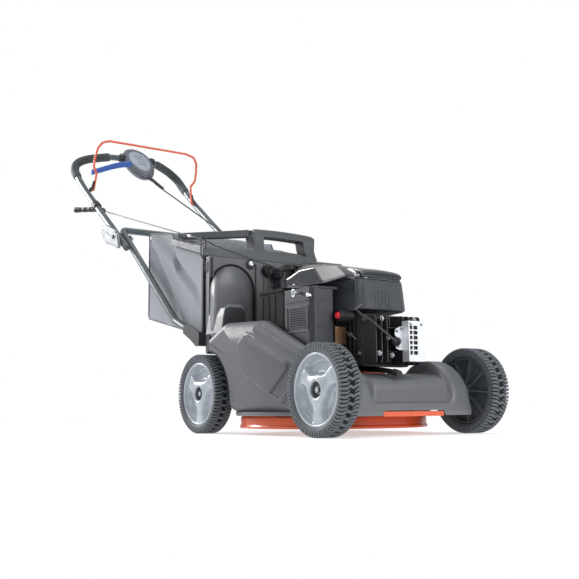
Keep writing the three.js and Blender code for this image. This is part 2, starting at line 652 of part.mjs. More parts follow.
// The control pod lies in the handle's plane and hangs down from the crossbar.
const CONSOLE = { x: -1462, z: 985, halfLength: 104, halfWidth: 46, halfHeight: 25, tilt: 0.68 }
const consolePod = () => {
  const pod = new THREE.SphereGeometry(1, 16, 8)
    .scale(CONSOLE.halfLength, CONSOLE.halfWidth, CONSOLE.halfHeight)
    .rotateY(CONSOLE.tilt).translate(CONSOLE.x, 0, CONSOLE.z)
  return cut(pod, tube(stretch(8, 14), GRIP.bore + GAP, 10))
}
add('console', consolePod(), LOOK.darkPlastic)

// The bail: an orange rod, hinged on both legs, that the operator holds back against the grips.
const bailRod = () => {
  const half = [
    [BAIL.x, BAIL.y + 10, BAIL.z], [BAIL.x, BAIL.y, BAIL.z], [BAIL.x + 3, BAIL.y - 2, BAIL.z + 70],
    [BAIL.x + 20, BAIL.y - 4, BAIL.z + 92], [BAIL.x + 42, BAIL.y - 8, BAIL.z + 128],
    [-1356, BAIL.y - 14, 1018],
  ]
  const right = half.map(([x, y, z]) => [x, -y, z])
  const left = half.slice().reverse()
  return tube(roundedRoute([...right, [-1381, -70, 1033], [-1381, 70, 1033], ...left], 22, 2), BAIL.rod, 8)
}
add('bail', bailRod(), LOOK.bail)

const driveLever = () => {
  const plan = [[-1434, -52, 968], [-1452, -90, 962], [-1476, -140, 950], [-1492, -196, 934]]
  return tube(smoothRoute(plan, 8), 7, 8)
}
add('drive_lever', driveLever(), LOOK.blue)

// Starter rope: from the handle parked at the guide on the right leg, through the hook, to the engine.
// It stops just short of the guide's ring, which moves away from it when the handle folds.
const ROPE = { guide: [-1318, -203, 758], hook: [-585, -206, 537], radius: 2 }
const ropeLine = (t) => ROPE.guide.map((v, i) => v + (ROPE.hook[i] - v) * t)
const starterHandle = () => {
  const [x, y, z] = ropeLine(-0.032)
  return join(
    bar([x, y, z], [x - 16, y - 2, z + 6], 7, 12, 8),
    bar([x - 14, y - 1, z + 4], [x - 126, y - 42, z + 18], 9, 12, 10),
  )
}
add('starter_handle', starterHandle(), LOOK.castBlack)

const ropeGuide = () => {
  const [x, y, z] = ROPE.guide
  const ring = bar(ropeLine(-0.008), ropeLine(0.012), 10, 16)
  const clip = bar([x + 2, y - 2, z + 4], [x + 2, -243, z + 14], 17, 16)
  return cut(join(ring, clip), bar(ropeLine(-0.1), ropeLine(0.1), ROPE.radius + 2, 12),
    tube(stretch(0, 4), GRIP.bore, 10))
}
add('rope_guide', ropeGuide(), LOOK.castBlack)

add('starter_rope', tube(smoothRoute([
  ropeLine(0.019), ropeLine(0.25), ropeLine(0.5), ropeLine(0.75), ropeLine(0.995),
  [-560, -180, 519], [-520, -136, 494], [-484, -92, 472], [-452, -50, 452],
], 24), ROPE.radius, 8), LOOK.cable)

add('rope_hook', tube(roundedRoute([
  [-585, -199, 446], [-585, -199, 472], [-585, -213, 496], [-585, -213, 546], [-585, -198, 546],
], 6, 3), 2.4, 6), LOOK.steel)

// The drive cable hangs from the pod to the left leg and follows the leg down into the rear cover.
add('drive_cable', tube(smoothRoute([
  [-1372, 14, 908], [-1352, 30, 884], [-1290, 92, 818], [-1215, 160, 742],
  [-1160, 190, 696], [-1108, 196, 650],
  [-1000, 200, 549], [-880, 200, 446], [-790, 200, 368],
  [-700, 200, 320], [-640, 201, 314], [-580.4, 203, 314],
], 30), 3, 8), LOOK.cable)

for (const [side, s] of [['left', 1], ['right', -1]]) {
  const y = TUBE.upperY + TUBE.radius + GAP
  const paddle = alongY(outline([
    [-98, 56], [-112, 38], [-92, 12], [-60, -14], [-34, -20], [0, -30], [34, -44],
    [42, -36], [26, 4], [6, 24], [-26, 36], [-64, 50],
  ]), y + 6, y + 12).translate(FOLD.x, 0, FOLD.z)
  const hub = bar([FOLD.x, y, FOLD.z], [FOLD.x, y + 12, FOLD.z], 15, 16)
  const lever = join(paddle, hub)
  add(`clamp_lever_${side}`, s > 0 ? lever : mirroredY(lever), LOOK.box)
}

// ---- catcher: a fabric bag, open in front at the duct, under a hard lid with a carrying handle ----
const LID = { front: -594, back: -800, halfWidth: 200, frontZ: 521, slope: 0.285, thick: 24 }
const lidZ = (x) => LID.frontZ + (LID.front - x) * LID.slope

const grassBag = () => {
  const top = (x) => lidZ(x) - LID.thick - 1
  const profile = (inset) => outline([
    [-606 - inset, 262 + inset], [-606 - inset, top(-606) - inset], [LID.back + 3, top(LID.back) - inset],
    [LID.back - 3, top(LID.back) - inset], [LID.back - 8, top(LID.back) + 22 - inset],
    [-1000 + inset, 634 - inset], [-982 + inset, 346 + inset],
  ])
  const plan = (inset) => {
    const half = [[-606 - inset, 186 - inset], [-780, 184 - inset], [-1000 + inset, 176 - inset]]
    return alongZ(outline([...half, ...half.map(([x, y]) => [x, -y]).reverse()]), 240, 700)
  }
  const skin = (inset) => common(alongY(profile(inset), -200, 200), plan(inset))
  const mouth = alongX(archShape(DOME.halfWidth - 42, DOME.springZ - 4, 290, DOME.y + 6), -640, -590, 8)
  return cut(skin(0), skin(4), mouth)
}
add('grass_bag', grassBag(), LOOK.fabric)

const bagLid = () => {
  const { front, back, halfWidth, thick } = LID
  const plate = alongY(outline([
    [front, lidZ(front) - thick - 4], [front, lidZ(front)], [back, lidZ(back)], [back, lidZ(back) - thick],
    [front - 14, lidZ(front - 14) - thick],
  ]), -halfWidth, halfWidth)
  const beamTop = (y) => 592 - 6 * ((y - 60) / 140) ** 2
  const beamLine = [-24, 20, 60, 110, 150, halfWidth - 8]
  const beam = alongX(outline([
    ...beamLine.map((y) => [y, beamTop(y)]),
    ...beamLine.slice().reverse().map((y) => [y, beamTop(y) - 23]),
  ]), front - 46, front - 4)
  const pillar = block([front - 46, front - 4], [-24, 10], [lidZ(front) - 10, beamTop(0) - 12])
  const endPillar = alongX(outline([
    [halfWidth - 46, lidZ(front) - 10], [halfWidth, lidZ(front) - 10],
    [halfWidth - 8, beamTop(halfWidth) - 2],
    [halfWidth - 46, beamTop(halfWidth) - 2],
  ]), front - 46, front - 4)
  const arm = bar([front - 34, -18, 580], [back + 14, -184, 577], 11, 10)
  return join(plate, beam, pillar, endPillar, arm)
}
add('bag_lid', bagLid(), LOOK.cover)

mower.position.x = -FOOTPRINT_CENTRE

export default mower
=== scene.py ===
"""The looks of a walk-behind lawn mower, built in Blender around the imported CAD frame."""
import json
import math

import bmesh
import bpy
from mathutils import Matrix, Vector


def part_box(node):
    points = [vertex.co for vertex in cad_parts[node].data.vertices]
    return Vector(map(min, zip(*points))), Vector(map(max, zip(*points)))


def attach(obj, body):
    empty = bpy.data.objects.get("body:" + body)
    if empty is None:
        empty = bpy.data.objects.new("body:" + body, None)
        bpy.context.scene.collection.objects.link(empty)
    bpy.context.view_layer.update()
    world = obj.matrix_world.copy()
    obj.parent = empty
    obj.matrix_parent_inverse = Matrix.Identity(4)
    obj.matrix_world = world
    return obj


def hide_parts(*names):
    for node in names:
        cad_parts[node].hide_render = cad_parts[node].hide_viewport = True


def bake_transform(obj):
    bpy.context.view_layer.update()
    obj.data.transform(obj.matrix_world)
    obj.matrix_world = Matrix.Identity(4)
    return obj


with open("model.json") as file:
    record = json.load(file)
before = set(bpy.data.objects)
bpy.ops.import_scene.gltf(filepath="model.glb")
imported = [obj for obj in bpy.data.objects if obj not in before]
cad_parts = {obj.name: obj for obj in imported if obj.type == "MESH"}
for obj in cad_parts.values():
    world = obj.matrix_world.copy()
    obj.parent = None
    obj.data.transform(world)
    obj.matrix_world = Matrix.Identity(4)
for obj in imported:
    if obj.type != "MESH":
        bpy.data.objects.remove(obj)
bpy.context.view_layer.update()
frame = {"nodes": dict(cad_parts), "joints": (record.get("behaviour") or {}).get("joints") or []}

MM = 0.001
tyre_low, tyre_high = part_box("tyre_front_right")
FRONT_X = (tyre_low[0] + tyre_high[0]) / 2
WHEEL_RADIUS = (tyre_high[2] - tyre_low[2]) / 2 / MM
rear_low, rear_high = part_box("tyre_rear_right")
WHEELBASE = (FRONT_X - (rear_low[0] + rear_high[0]) / 2) / MM
HALF_TRACK = abs(tyre_low[1] + tyre_high[1]) / 2 / MM
DECK_X = -WHEELBASE / 2


# ---- places and paths, in millimetres: x forward of the front axle, y to the left, z above the ground ----
def node_box(node):
    """A CAD node's ((x0, x1), (y0, y1), (z0, z1)) in millimetres from the front axle."""
    low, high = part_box(node)
    shift = (FRONT_X, 0.0, 0.0)
    return [((a - s) / MM, (b - s) / MM) for a, b, s in zip(low, high, shift)]


def place(point):
    """A point in the frame's metres."""
    return (FRONT_X + point[0] * MM, point[1] * MM, point[2] * MM)


def mix(a, b, t):
    return a + (b - a) * t


def smoothstep(value, start, end):
    t = min(max((value - start) / (end - start), 0.0), 1.0)
    return t * t * (3 - 2 * t)


def turns(count):
    """Angles spread evenly round a circle."""
    return [2 * math.pi * k / count for k in range(count)]


def bend(start, corner, end, steps):
    """A curve from start to end that is drawn towards the corner."""
    shares = [i / steps for i in range(steps + 1)]
    return [start * (1 - t) ** 2 + corner * 2 * t * (1 - t) + end * t * t for t in shares]


def rounded(points, radius, steps=8):
    """The points joined by straights, with each corner rounded."""
    points = [Vector(p) for p in points]
    path = [points[0]]
    for before, corner, after in zip(points, points[1:], points[2:]):
        back, ahead = before - corner, after - corner
        reach = radius * math.tan((math.pi - back.angle(ahead)) / 2)
        reach = min(reach, back.length * 0.48, ahead.length * 0.48)
        start = corner + back.normalized() * reach
        end = corner + ahead.normalized() * reach
        path += bend(start, corner, end, steps)
    path.append(points[-1])
    return path


def smooth(points, per_span=8):
    """A curve that passes through every point."""
    points = [Vector(p) for p in points]
    ends = [points[0] * 2 - points[1]] + points + [points[-1] * 2 - points[-2]]
    path = []
    for a, b, c, d in zip(ends, ends[1:], ends[2:], ends[3:]):
        for i in range(per_span):
            t = i / per_span
            path.append(0.5 * (b * 2 + (c - a) * t + (a * 2 - b * 5 + c * 4 - d) * t ** 2
                               + (b * 3 - a - c * 3 + d) * t ** 3))
    path.append(points[-1])
    return path


def mirrored(points):
    return [Vector((p[0], -p[1], p[2])) for p in points]


# ---- mesh building ----
class Form:
    """The mesh of one piece while it is being built."""

    def __init__(self):
        self.bm = bmesh.new()

    def grid(self, rows, close_rows=False, close_columns=False, caps=False):
        """Quads between rows of points; caps fills the first and last row."""
        made = [[self.bm.verts.new(p) for p in row] for row in rows]
        last = len(made) if close_rows else len(made) - 1
        width = len(made[0]) if close_columns else len(made[0]) - 1
        for i in range(last):
            a, b = made[i], made[(i + 1) % len(made)]
            for j in range(width):
                k = (j + 1) % len(a)
                self.bm.faces.new((a[j], a[k], b[k], b[j]))
        if caps:
            self.bm.faces.new(made[0])
            self.bm.faces.new(made[-1][::-1])
        return self

    def loft(self, rows):
        """Closed cross-sections joined to each other and filled at both ends."""
        return self.grid(rows, close_columns=True, caps=True)

    def face(self, points):
        """One face over its own points."""
        self.bm.faces.new([self.bm.verts.new(p) for p in points])

    def merge(self, distance=0.01):
        """Joins points that lie together."""
        bmesh.ops.remove_doubles(self.bm, verts=self.bm.verts[:], dist=distance)

    def tube(self, path, radius, sides=16):
        """A round bar along a path; radius may be a function of the distance share along it."""
        path = [Vector(p) for p in path]
        tangent = (path[1] - path[0]).normalized()
        across = tangent.orthogonal().normalized()
        rows = []
        for i, point in enumerate(path):
            ahead = path[min(i + 1, len(path) - 1)] - path[max(i - 1, 0)]
            turn = tangent.rotation_difference(ahead.normalized())
            across = (turn @ across).normalized()
            tangent = ahead.normalized()
            beside = tangent.cross(across)
            size = radius(i / (len(path) - 1)) if callable(radius) else radius
            row = []
            for angle in turns(sides):
                row.append(point + across * math.cos(angle) * size + beside * math.sin(angle) * size)
            rows.append(row)
        return self.loft(rows)

    def turned(self, profile, centre, axis="Z", segments=48):
        """A closed (radius, height) profile turned about an axis through the centre."""
        rows = []
        for angle in turns(segments):
            c, s = math.cos(angle), math.sin(angle)
            place = {
                "X": lambda r, h: (h, r * c, r * s),
                "Y": lambda r, h: (r * c, h, r * s),
                "Z": lambda r, h: (r * c, r * s, h),
            }[axis]
            rows.append([Vector(centre) + Vector(place(r, h)) for r, h in profile])
        self.grid(rows, close_rows=True, close_columns=True)
        self.merge(1e-4)
        return self

    def prism(self, outline, axis, start, end):
        """An outline drawn across an axis (x: y, z; y: x, z; z: x, y) and pulled along it."""
        place = {
            "x": lambda a, b, d: (d, a, b),
            "y": lambda a, b, d: (a, d, b),
            "z": lambda a, b, d: (a, b, d),
        }[axis]
        rows = [[place(a, b, d) for a, b in outline] for d in (start, end)]
        return self.loft(rows)

    def block(self, x, y, z):
        return self.prism([(x[0], y[0]), (x[1], y[0]), (x[1], y[1]), (x[0], y[1])], "z", *z)

    def rod(self, start, end, radius, sides=24, end_radius=None):
        last = radius if end_radius is None else end_radius
        return self.tube([start, end], lambda t: mix(radius, last, t), sides)

    def carve(self, *cutters):
        """Takes other forms out of this one."""
        objects = []
        for i, form in enumerate((self, *cutters)):
            bmesh.ops.recalc_face_normals(form.bm, faces=form.bm.faces[:])
            mesh = bpy.data.meshes.new(f"carving_{i}")
            form.bm.to_mesh(mesh)
            form.bm.free()
            made = bpy.data.objects.new(f"carving_{i}", mesh)
            bpy.context.scene.collection.objects.link(made)
            objects.append(made)
        for cutter in objects[1:]:
            taken = objects[0].modifiers.new("taken", "BOOLEAN")
            taken.operation = "DIFFERENCE"
            taken.solver = "EXACT"
            taken.object = cutter
        done = objects[0].evaluated_get(bpy.context.evaluated_depsgraph_get()).to_mesh()
        self.bm = bmesh.new()
        self.bm.from_mesh(done)
        for made in objects:
            bpy.data.objects.remove(made)
        return self

    def piece(self, name, body, look, replaces=(), bevel=0.0, segments=2, angle=30, subdivide=0,
              smooth_angle=35, solid=0.0, across=None):
        """Makes the Blender object, dresses it, and lets it ride on its body.

        across is (second body, start, end) for a piece that goes over from one body to another; such a piece
        is fixed where it stands on no body, and its second body, start and end have no effect."""
        for vert in self.bm.verts:
            vert.co = Vector((FRONT_X + vert.co.x * MM, vert.co.y * MM, vert.co.z * MM))
        bmesh.ops.recalc_face_normals(self.bm, faces=self.bm.faces[:])
        mesh = bpy.data.meshes.new(name)
        self.bm.to_mesh(mesh)
        self.bm.free()
        piece = bpy.data.objects.new(name, mesh)
        bpy.context.scene.collection.objects.link(piece)
        look_slot, material = LOOKS[look]
        mesh.materials.append(material)
        if solid:
            thick = piece.modifiers.new("wall", "SOLIDIFY")
            thick.thickness = solid * MM
            thick.offset = -1
        if bevel:
            round_edges(piece, bevel, segments, angle)
        if subdivide:
            finer = piece.modifiers.new("finer", "SUBSURF")
            finer.levels = finer.render_levels = subdivide
        shade(piece, smooth_angle)
        if across:
            place(across[1])
            place(across[2])
            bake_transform(piece)
        else:
            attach(piece, body)
        if replaces:
            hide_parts(*replaces)
        return piece


def round_edges(piece, width, segments=2, angle=30):
    edges = piece.modifiers.new("edges", "BEVEL")
    edges.width = width * MM
    edges.segments = segments
    edges.limit_method = "ANGLE"
    edges.angle_limit = math.radians(angle)
    edges.use_clamp_overlap = True


def shade(piece, angle=35):
    for face in piece.data.polygons:
        face.use_smooth = True
    by_angle = piece.modifiers.new("shading", "WEIGHTED_NORMAL")
    by_angle.keep_sharp = True
    piece.data.set_sharp_from_angle(angle=math.radians(angle))


# ---- materials ----
def srgb(red, green, blue):
    """A linear colour from the 0 to 255 values that a screen shows."""
    return tuple((c / 255 / 12.92 if c <= 10 else ((c / 255 + 0.055) / 1.055) ** 2.4)
                 for c in (red, green, blue)) + (1.0,)


def scaled(colour, factor, lift=0.0):
    """A colour made darker or brighter, no part of it above full."""
    return tuple(min(c * factor + lift, 1.0) for c in colour[:3]) + (1.0,)


class Look:
    """One material's nodes, with object coordinates in metres as its only pattern space."""

    def __init__(self, name):
        self.material = bpy.data.materials.new(name)
        self.material.use_nodes = True
        self.tree = self.material.node_tree
        self.shader = self.tree.nodes["Principled BSDF"]
        self.place = self.node("ShaderNodeTexCoord").outputs["Object"]

    def node(self, kind, **values):
        made = self.tree.nodes.new(kind)
        for key, value in values.items():
            setattr(made, key, value)
        return made

    def link(self, start, end):
        self.tree.links.new(start, end)

    def finish(self, colour, gloss, normal, **values):
        """Feeds the shader and sets its plain values, each given by its input's name with underscores."""
        self.link(colour, self.shader.inputs["Base Color"])
        self.link(gloss, self.shader.inputs["Roughness"])
        self.link(normal, self.shader.inputs["Normal"])
        for key, value in values.items():
            self.shader.inputs[key.replace("_", " ")].default_value = value
        return self.material

    def noise(self, scale, detail=3.0, rough=0.5, stretch=None):
        made = self.node("ShaderNodeTexNoise")
        made.inputs["Scale"].default_value = scale
        made.inputs["Detail"].default_value = detail
        made.inputs["Roughness"].default_value = rough
        place = self.place
        if stretch:
            mapping = self.node("ShaderNodeMapping")
            mapping.inputs["Scale"].default_value = stretch
            self.link(place, mapping.inputs["Vector"])
            place = mapping.outputs["Vector"]
        self.link(place, made.inputs["Vector"])
        return made.outputs["Fac"]

    def ramp(self, source, low, high, start=0.3, end=0.7):
        made = self.node("ShaderNodeMapRange")
        made.inputs["From Min"].default_value = start
        made.inputs["From Max"].default_value = end
        made.inputs["To Min"].default_value = low
        made.inputs["To Max"].default_value = high
        self.link(source, made.inputs["Value"])
        return made.outputs["Result"]

    def mix_colours(self, share, first, second):
        made = self.node("ShaderNodeMix", data_type="RGBA")
        self.link(share, made.inputs[0])
        for socket, value in ((made.inputs[6], first), (made.inputs[7], second)):
            if isinstance(value, tuple):
                socket.default_value = value
            else:
                self.link(value, socket)
        return made.outputs[2]

    def bump(self, height, strength, distance, under=None):
        made = self.node("ShaderNodeBump")
        made.inputs["Strength"].default_value = strength
        made.inputs["Distance"].default_value = distance
        self.link(height, made.inputs["Height"])
        if under is not None:
            self.link(under, made.inputs["Normal"])
        return made.outputs["Normal"]

    def edges(self):
        """1 on convex edges, 0 elsewhere: worn edges in moulded looks, a painted highlight in castings."""
        return self.ramp(self.node("ShaderNodeNewGeometry").outputs["Pointiness"], 0.0, 1.0, 0.505, 0.56)


def moulded(name, colour, rough, grain=0.12, grain_size=1600.0, spread=0.16, wear=1.25, coat=0.0, metal=0.0,
            shine=0.5):
    """Moulded plastic, rubber or painted metal: fine grain, uneven gloss, faint blotches, paler edges."""
    look = Look(name)
    blotch = look.noise(9.0, 4.0)
    darker = scaled(colour, 1 - spread)
    lighter = scaled(colour, 1 + spread)
    base = look.mix_colours(look.ramp(blotch, 0.0, 1.0), darker, lighter)
    worn = scaled(colour, wear, 0.01)
    base = look.mix_colours(look.edges(), base, worn)
    gloss = look.ramp(look.noise(45.0, 5.0), rough - 0.05, rough + 0.07)
    fine = look.noise(grain_size, 2.0)
    soft = look.bump(look.noise(26.0, 2.0), 0.06, 0.002)
    return look.finish(base, gloss, look.bump(fine, grain, 0.0004, soft), Metallic=metal,
                       Specular_IOR_Level=shine, Coat_Weight=coat, Coat_Roughness=0.08)


def steel(name, colour, rough):
    """Bare metal with fine brushed lines and a few dull smudges."""
    look = Look(name)
    lines = look.noise(60.0, 3.0, 0.7, stretch=(1.0, 1.0, 40.0))
    smudge = look.noise(30.0, 4.0)
    dull = scaled(colour, 0.72)
    base = look.mix_colours(look.ramp(smudge, 0.0, 1.0, 0.45, 0.75), colour, dull)
    gloss = look.ramp(lines, rough - 0.06, rough + 0.12)
    return look.finish(base, gloss, look.bump(lines, 0.12, 0.0003), Metallic=1.0)


def casting(name, colour, rough):
    """A painted casting with a coarse sand texture."""
    look = Look(name)
    coarse = look.noise(420.0, 4.0, 0.65)
    dust = look.noise(22.0, 5.0)
    pale = scaled(colour, 2.2, 0.01)
    base = look.mix_colours(look.ramp(dust, 0.0, 0.35, 0.5, 0.8), colour, pale)
    # Convex edges turn pale: a painted highlight where edges catch the light, as on the fins.
    base = look.mix_colours(look.edges(), base, pale)
    gloss = look.ramp(dust, rough - 0.08, rough + 0.15)
    return look.finish(base, gloss, look.bump(coarse, 0.35, 0.0006))


THREADS_PER_METRE = 900.0


def woven(name, colour, rough):
    """Woven polyester: two crossing sets of threads, faded patches and a little sheen."""
    look = Look(name)
    heights = []
    for axis in ("X", "Z"):
        wave = look.node("ShaderNodeTexWave", wave_type="BANDS", bands_direction=axis)
        wave.inputs["Scale"].default_value = THREADS_PER_METRE / 6.28
        wave.inputs["Distortion"].default_value = 0.6
        look.link(look.place, wave.inputs["Vector"])
        heights.append(wave.outputs["Fac"])
    weave = look.node("ShaderNodeMath", operation="MULTIPLY")
    look.link(heights[0], weave.inputs[0])
    look.link(heights[1], weave.inputs[1])
    fade = look.noise(7.0, 5.0)
    darker = scaled(colour, 0.86)
    lighter = scaled(colour, 1.12)
    base = look.mix_colours(look.ramp(fade, 0.0, 1.0), darker, lighter)
    base = look.mix_colours(look.ramp(weave.outputs[0], 0.25, 0.0, 0.0, 0.8), base, scaled(colour, 0.5))
    gloss = look.ramp(fade, rough - 0.04, rough + 0.08)
    wrinkle = look.bump(look.noise(34.0, 3.0), 0.25, 0.003)
    return look.finish(base, gloss, look.bump(weave.outputs[0], 0.4, 0.0005, wrinkle),
                       Sheen_Weight=0.25, Sheen_Roughness=0.5)


LOOKS = {
    "deck": ("deck_paint", moulded("deck_paint", srgb(202, 84, 46), 0.3, 0.05, 900, 0.06, 1.15, coat=0.3)),
    "cover": ("cover_plastic", moulded("cover_plastic", srgb(90, 92, 95), 0.4, 0.2, 1500, 0.06)),
    "lid": ("cover_plastic", moulded("lid_plastic", srgb(78, 81, 84), 0.48, 0.25, 1400, 0.07)),
    "silver": ("silver_plastic", moulded("silver_plastic", srgb(172, 178, 186), 0.3, 0.05, 1200, 0.04, 1.05,
                                         metal=0.25)),
    # Near-black rubber that paints shade: in the tyres' grooves and where the tower meets the bulkhead.
    "groove_shade": ("tyre_rubber", moulded("painted_groove_shade", srgb(26, 27, 29), 0.8, 0.2, 900, 0.1, shine=0.1)),
    # A darker copy of the cover plastic: painted shade on the hood's face.
    "shade": ("cover_plastic", moulded("painted_shade_plastic", srgb(62, 64, 67), 0.6, 0.2, 1500, 0.06, shine=0.3)),
    "matte": ("black_plastic", moulded("matte_black", srgb(17, 18, 20), 0.72, 0.2, 1300, 0.15, 1.6,
                                       shine=0.12)),
    "guard": ("bright_steel", moulded("heat_shield", srgb(238, 240, 244), 0.3, 0.1, 900, 0.03, 1.02,
                                      metal=0.45)),
    "tyre": ("tyre_rubber", moulded("tyre_rubber", srgb(68, 72, 77), 0.62, 0.3, 900, 0.12, 1.5)),
    "rim": ("rim_plastic", moulded("rim_plastic", srgb(74, 78, 83), 0.5, 0.15, 1300, 0.1)),
    "control": ("control_plastic", moulded("control_plastic", srgb(78, 83, 92), 0.45, 0.2, 1500, 0.08)),
    "inset": ("control_plastic", moulded("inset_plastic", srgb(128, 138, 154), 0.35, 0.1, 1500, 0.05)),
    "gloss": ("gloss_black", moulded("gloss_black", srgb(30, 34, 40), 0.1, 0.02, 800, 0.1, 1.2, coat=0.9)),
    "shroud": ("shroud_plastic", moulded("shroud_plastic", srgb(48, 51, 56), 0.27, 0.05, 1500, 0.07, 1.5)),
    "casting": ("engine_casting", casting("engine_casting", srgb(26, 27, 29), 0.42)),
    "black": ("black_plastic", moulded("black_plastic", srgb(28, 29, 32), 0.45, 0.15, 1500, 0.1, 1.6,
                                       shine=0.35)),
    "box": ("box_plastic", moulded("box_plastic", srgb(42, 45, 52), 0.38, 0.12, 1500, 0.08, 1.1, shine=0.38)),
    "bright": ("bright_steel", steel("bright_steel", srgb(222, 224, 228), 0.26)),
    "plain": ("plain_steel", steel("plain_steel", srgb(168, 170, 174), 0.36)),
    "black_steel": ("black_steel", moulded("black_steel", srgb(38, 39, 42), 0.42, 0.1, 900, 0.1, 1.4)),
    "tube": ("tube_paint", moulded("tube_paint", srgb(76, 84, 88), 0.36, 0.1, 1100, 0.06, 1.3, metal=0.3)),
    "foam": ("foam_grip", casting("foam_grip", srgb(44, 49, 52), 0.72)),
    "bail": ("bail_paint", moulded("bail_paint", srgb(206, 86, 56), 0.36, 0.05, 900, 0.05, 1.1, coat=0.2)),
    "blue": ("lever_blue", moulded("lever_blue", srgb(34, 80, 156), 0.38, 0.1, 1300, 0.05)),
    "clamp": ("clamp_plastic", moulded("clamp_plastic", srgb(104, 110, 118), 0.42, 0.15, 1400, 0.07)),
    "fabric": ("bag_fabric", woven("bag_fabric", srgb(130, 134, 142), 0.8)),
    "fabric_dark": ("bag_fabric", woven("bag_fabric_dark", srgb(70, 73, 79), 0.8)),
    "red": ("primer_red", moulded("primer_red", srgb(214, 36, 44), 0.33, 0.05, 900, 0.05)),
    "brass": ("carburettor_metal", steel("carburettor_metal", srgb(150, 118, 92), 0.4)),
    "cable": ("cable_black", moulded("cable_black", srgb(34, 35, 38), 0.45, 0.1, 1500, 0.1)),
}


# ---- camera, floor and light ----
# Fitted to the photo: metres from the front axle, and radians.
CAMERA_PLACE = (1.6028, -1.4236, 0.0681)
CAMERA_TURN = (2.5371, 0.1299, -0.0086)
SENSOR, LENS = 36.0, 55.9
FLOOR_REACH = 40.0
PALE, BRIGHT = (0.60, 0.61, 0.62, 1), (0.64, 0.64, 0.64, 1)
WHITE = (1, 1, 1, 1)
STUDIO = (0.96, 0.98, 1.0, 1)
LAMP_AIM = (-0.5, 0, 0.3)
# name: place from the front axle in metres, size in metres, power in watts
LAMPS = {
    "overhead": ((-0.6, 0.3, 3.2), 2.4, 44.0),
    "key": ((1.7, -1.9, 1.9), 1.1, 6.0),
    "rear_window": ((-3.3, -1.3, 1.7), 1.3, 92.0),
    "side_high": ((-1.3, -2.5, 2.5), 1.2, 13.0),
    "front": ((1.5, 0.4, 0.75), 0.9, 15.0),
}


def camera_and_stage():
    axle = Vector((FRONT_X, 0, 0))
    yaw, pitch, roll = CAMERA_TURN
    forward = Vector((math.cos(yaw) * math.cos(pitch), math.sin(yaw) * math.cos(pitch), math.sin(pitch)))
    right = forward.cross(Vector((0, 0, 1))).normalized()
    up = right.cross(forward)
    right, up = right * math.cos(roll) + up * math.sin(roll), up * math.cos(roll) - right * math.sin(roll)
    data = bpy.data.cameras.new("camera")
    data.sensor_width = SENSOR
    data.lens = LENS
    data.clip_end = 100
    camera = bpy.data.objects.new("camera", data)
    camera.matrix_world = Matrix((right, up, -forward)).transposed().to_4x4()
    camera.location = axle + Vector(CAMERA_PLACE)
    bpy.context.scene.collection.objects.link(camera)
    bpy.context.scene.camera = camera

    floor_mesh = bpy.data.meshes.new("floor")
    corners = ((-1, -1), (1, -1), (1, 1), (-1, 1))
    floor_mesh.from_pydata([(x * FLOOR_REACH, y * FLOOR_REACH, 0) for x, y in corners], [], [(0, 1, 2, 3)])
    floor = bpy.data.objects.new("floor", floor_mesh)
    bpy.context.scene.collection.objects.link(floor)
    floor_mesh.materials.append(floor_material())
    world_light()
    bpy.context.scene.view_settings.view_transform = "Standard"

    aim = axle + Vector(LAMP_AIM)
    for name, (spot, size, power) in LAMPS.items():
        light = bpy.data.lights.new(name, "AREA")
        light.size = size
        light.energy = power
        lamp = bpy.data.objects.new(name, light)
        lamp.location = Vector(spot) + axle
        lamp.rotation_euler = (aim - lamp.location).to_track_quat("-Z", "Y").to_euler()
        bpy.context.scene.collection.objects.link(lamp)


def floor_material():
    """Pale paint that brightens into white away from the object."""
    pale = Look("floor_paint")
    pale.link(pale.mix_colours(pale.noise(2.0), PALE, BRIGHT),
              pale.shader.inputs["Base Color"])
    pale.shader.inputs["Roughness"].default_value = 0.7
    pale.shader.inputs["Emission Color"].default_value = WHITE
    pale.shader.inputs["Emission Strength"].default_value = 0.5
    white = pale.node("ShaderNodeEmission")
    white.inputs["Strength"].default_value = 1.0
    distance = pale.node("ShaderNodeVectorMath", operation="LENGTH")
    pale.link(pale.place, distance.inputs[0])
    fade = pale.ramp(distance.outputs["Value"], 0.0, 1.0, 1.1, 2.2)
    both = pale.node("ShaderNodeMixShader")
    pale.link(fade, both.inputs[0])
    pale.link(pale.shader.outputs[0], both.inputs[1])
    pale.link(white.outputs[0], both.inputs[2])
    pale.link(both.outputs[0], pale.tree.nodes["Material Output"].inputs["Surface"])
    return pale.material


def world_light():
    """White behind the object; as light, a dimmer and even studio."""
    world = bpy.data.worlds.new("world")
    bpy.context.scene.world = world
    world.use_nodes = True
    tree = world.node_tree
    shown = tree.nodes["Background"]
    shown.inputs["Color"].default_value = WHITE
    shown.inputs["Strength"].default_value = 1.0
    lit = tree.nodes.new("ShaderNodeBackground")
    lit.inputs["Color"].default_value = STUDIO
    lit.inputs["Strength"].default_value = 0.46
    seen = tree.nodes.new("ShaderNodeLightPath")
    both = tree.nodes.new("ShaderNodeMixShader")
    tree.links.new(seen.outputs["Is Camera Ray"], both.inputs[0])
    tree.links.new(lit.outputs[0], both.inputs[1])
    tree.links.new(shown.outputs[0], both.inputs[2])
    tree.links.new(both.outputs[0], tree.nodes["World Output"].inputs["Surface"])


# ---- wheels ----
LUG_PITCH = math.radians(10)


def lug(form, centre, facing, stations, width):
    """A tread bar: at each station the carcass point, the bar's top and its angle round the wheel."""
    rows = []
    for (base_y, base_r), (top_y, top_r), angle in stations:
        row = []
        for y, r, half in ((base_y, base_r, width / 2), (base_y, base_r, -width / 2),
                           (top_y, top_r, -width * 0.42), (top_y, top_r, width * 0.42)):
            turn = angle + half / r
            row.append(Vector(centre) + Vector((r * math.cos(turn), facing * y, r * math.sin(turn))))
        rows.append(row)
    form.loft(rows)


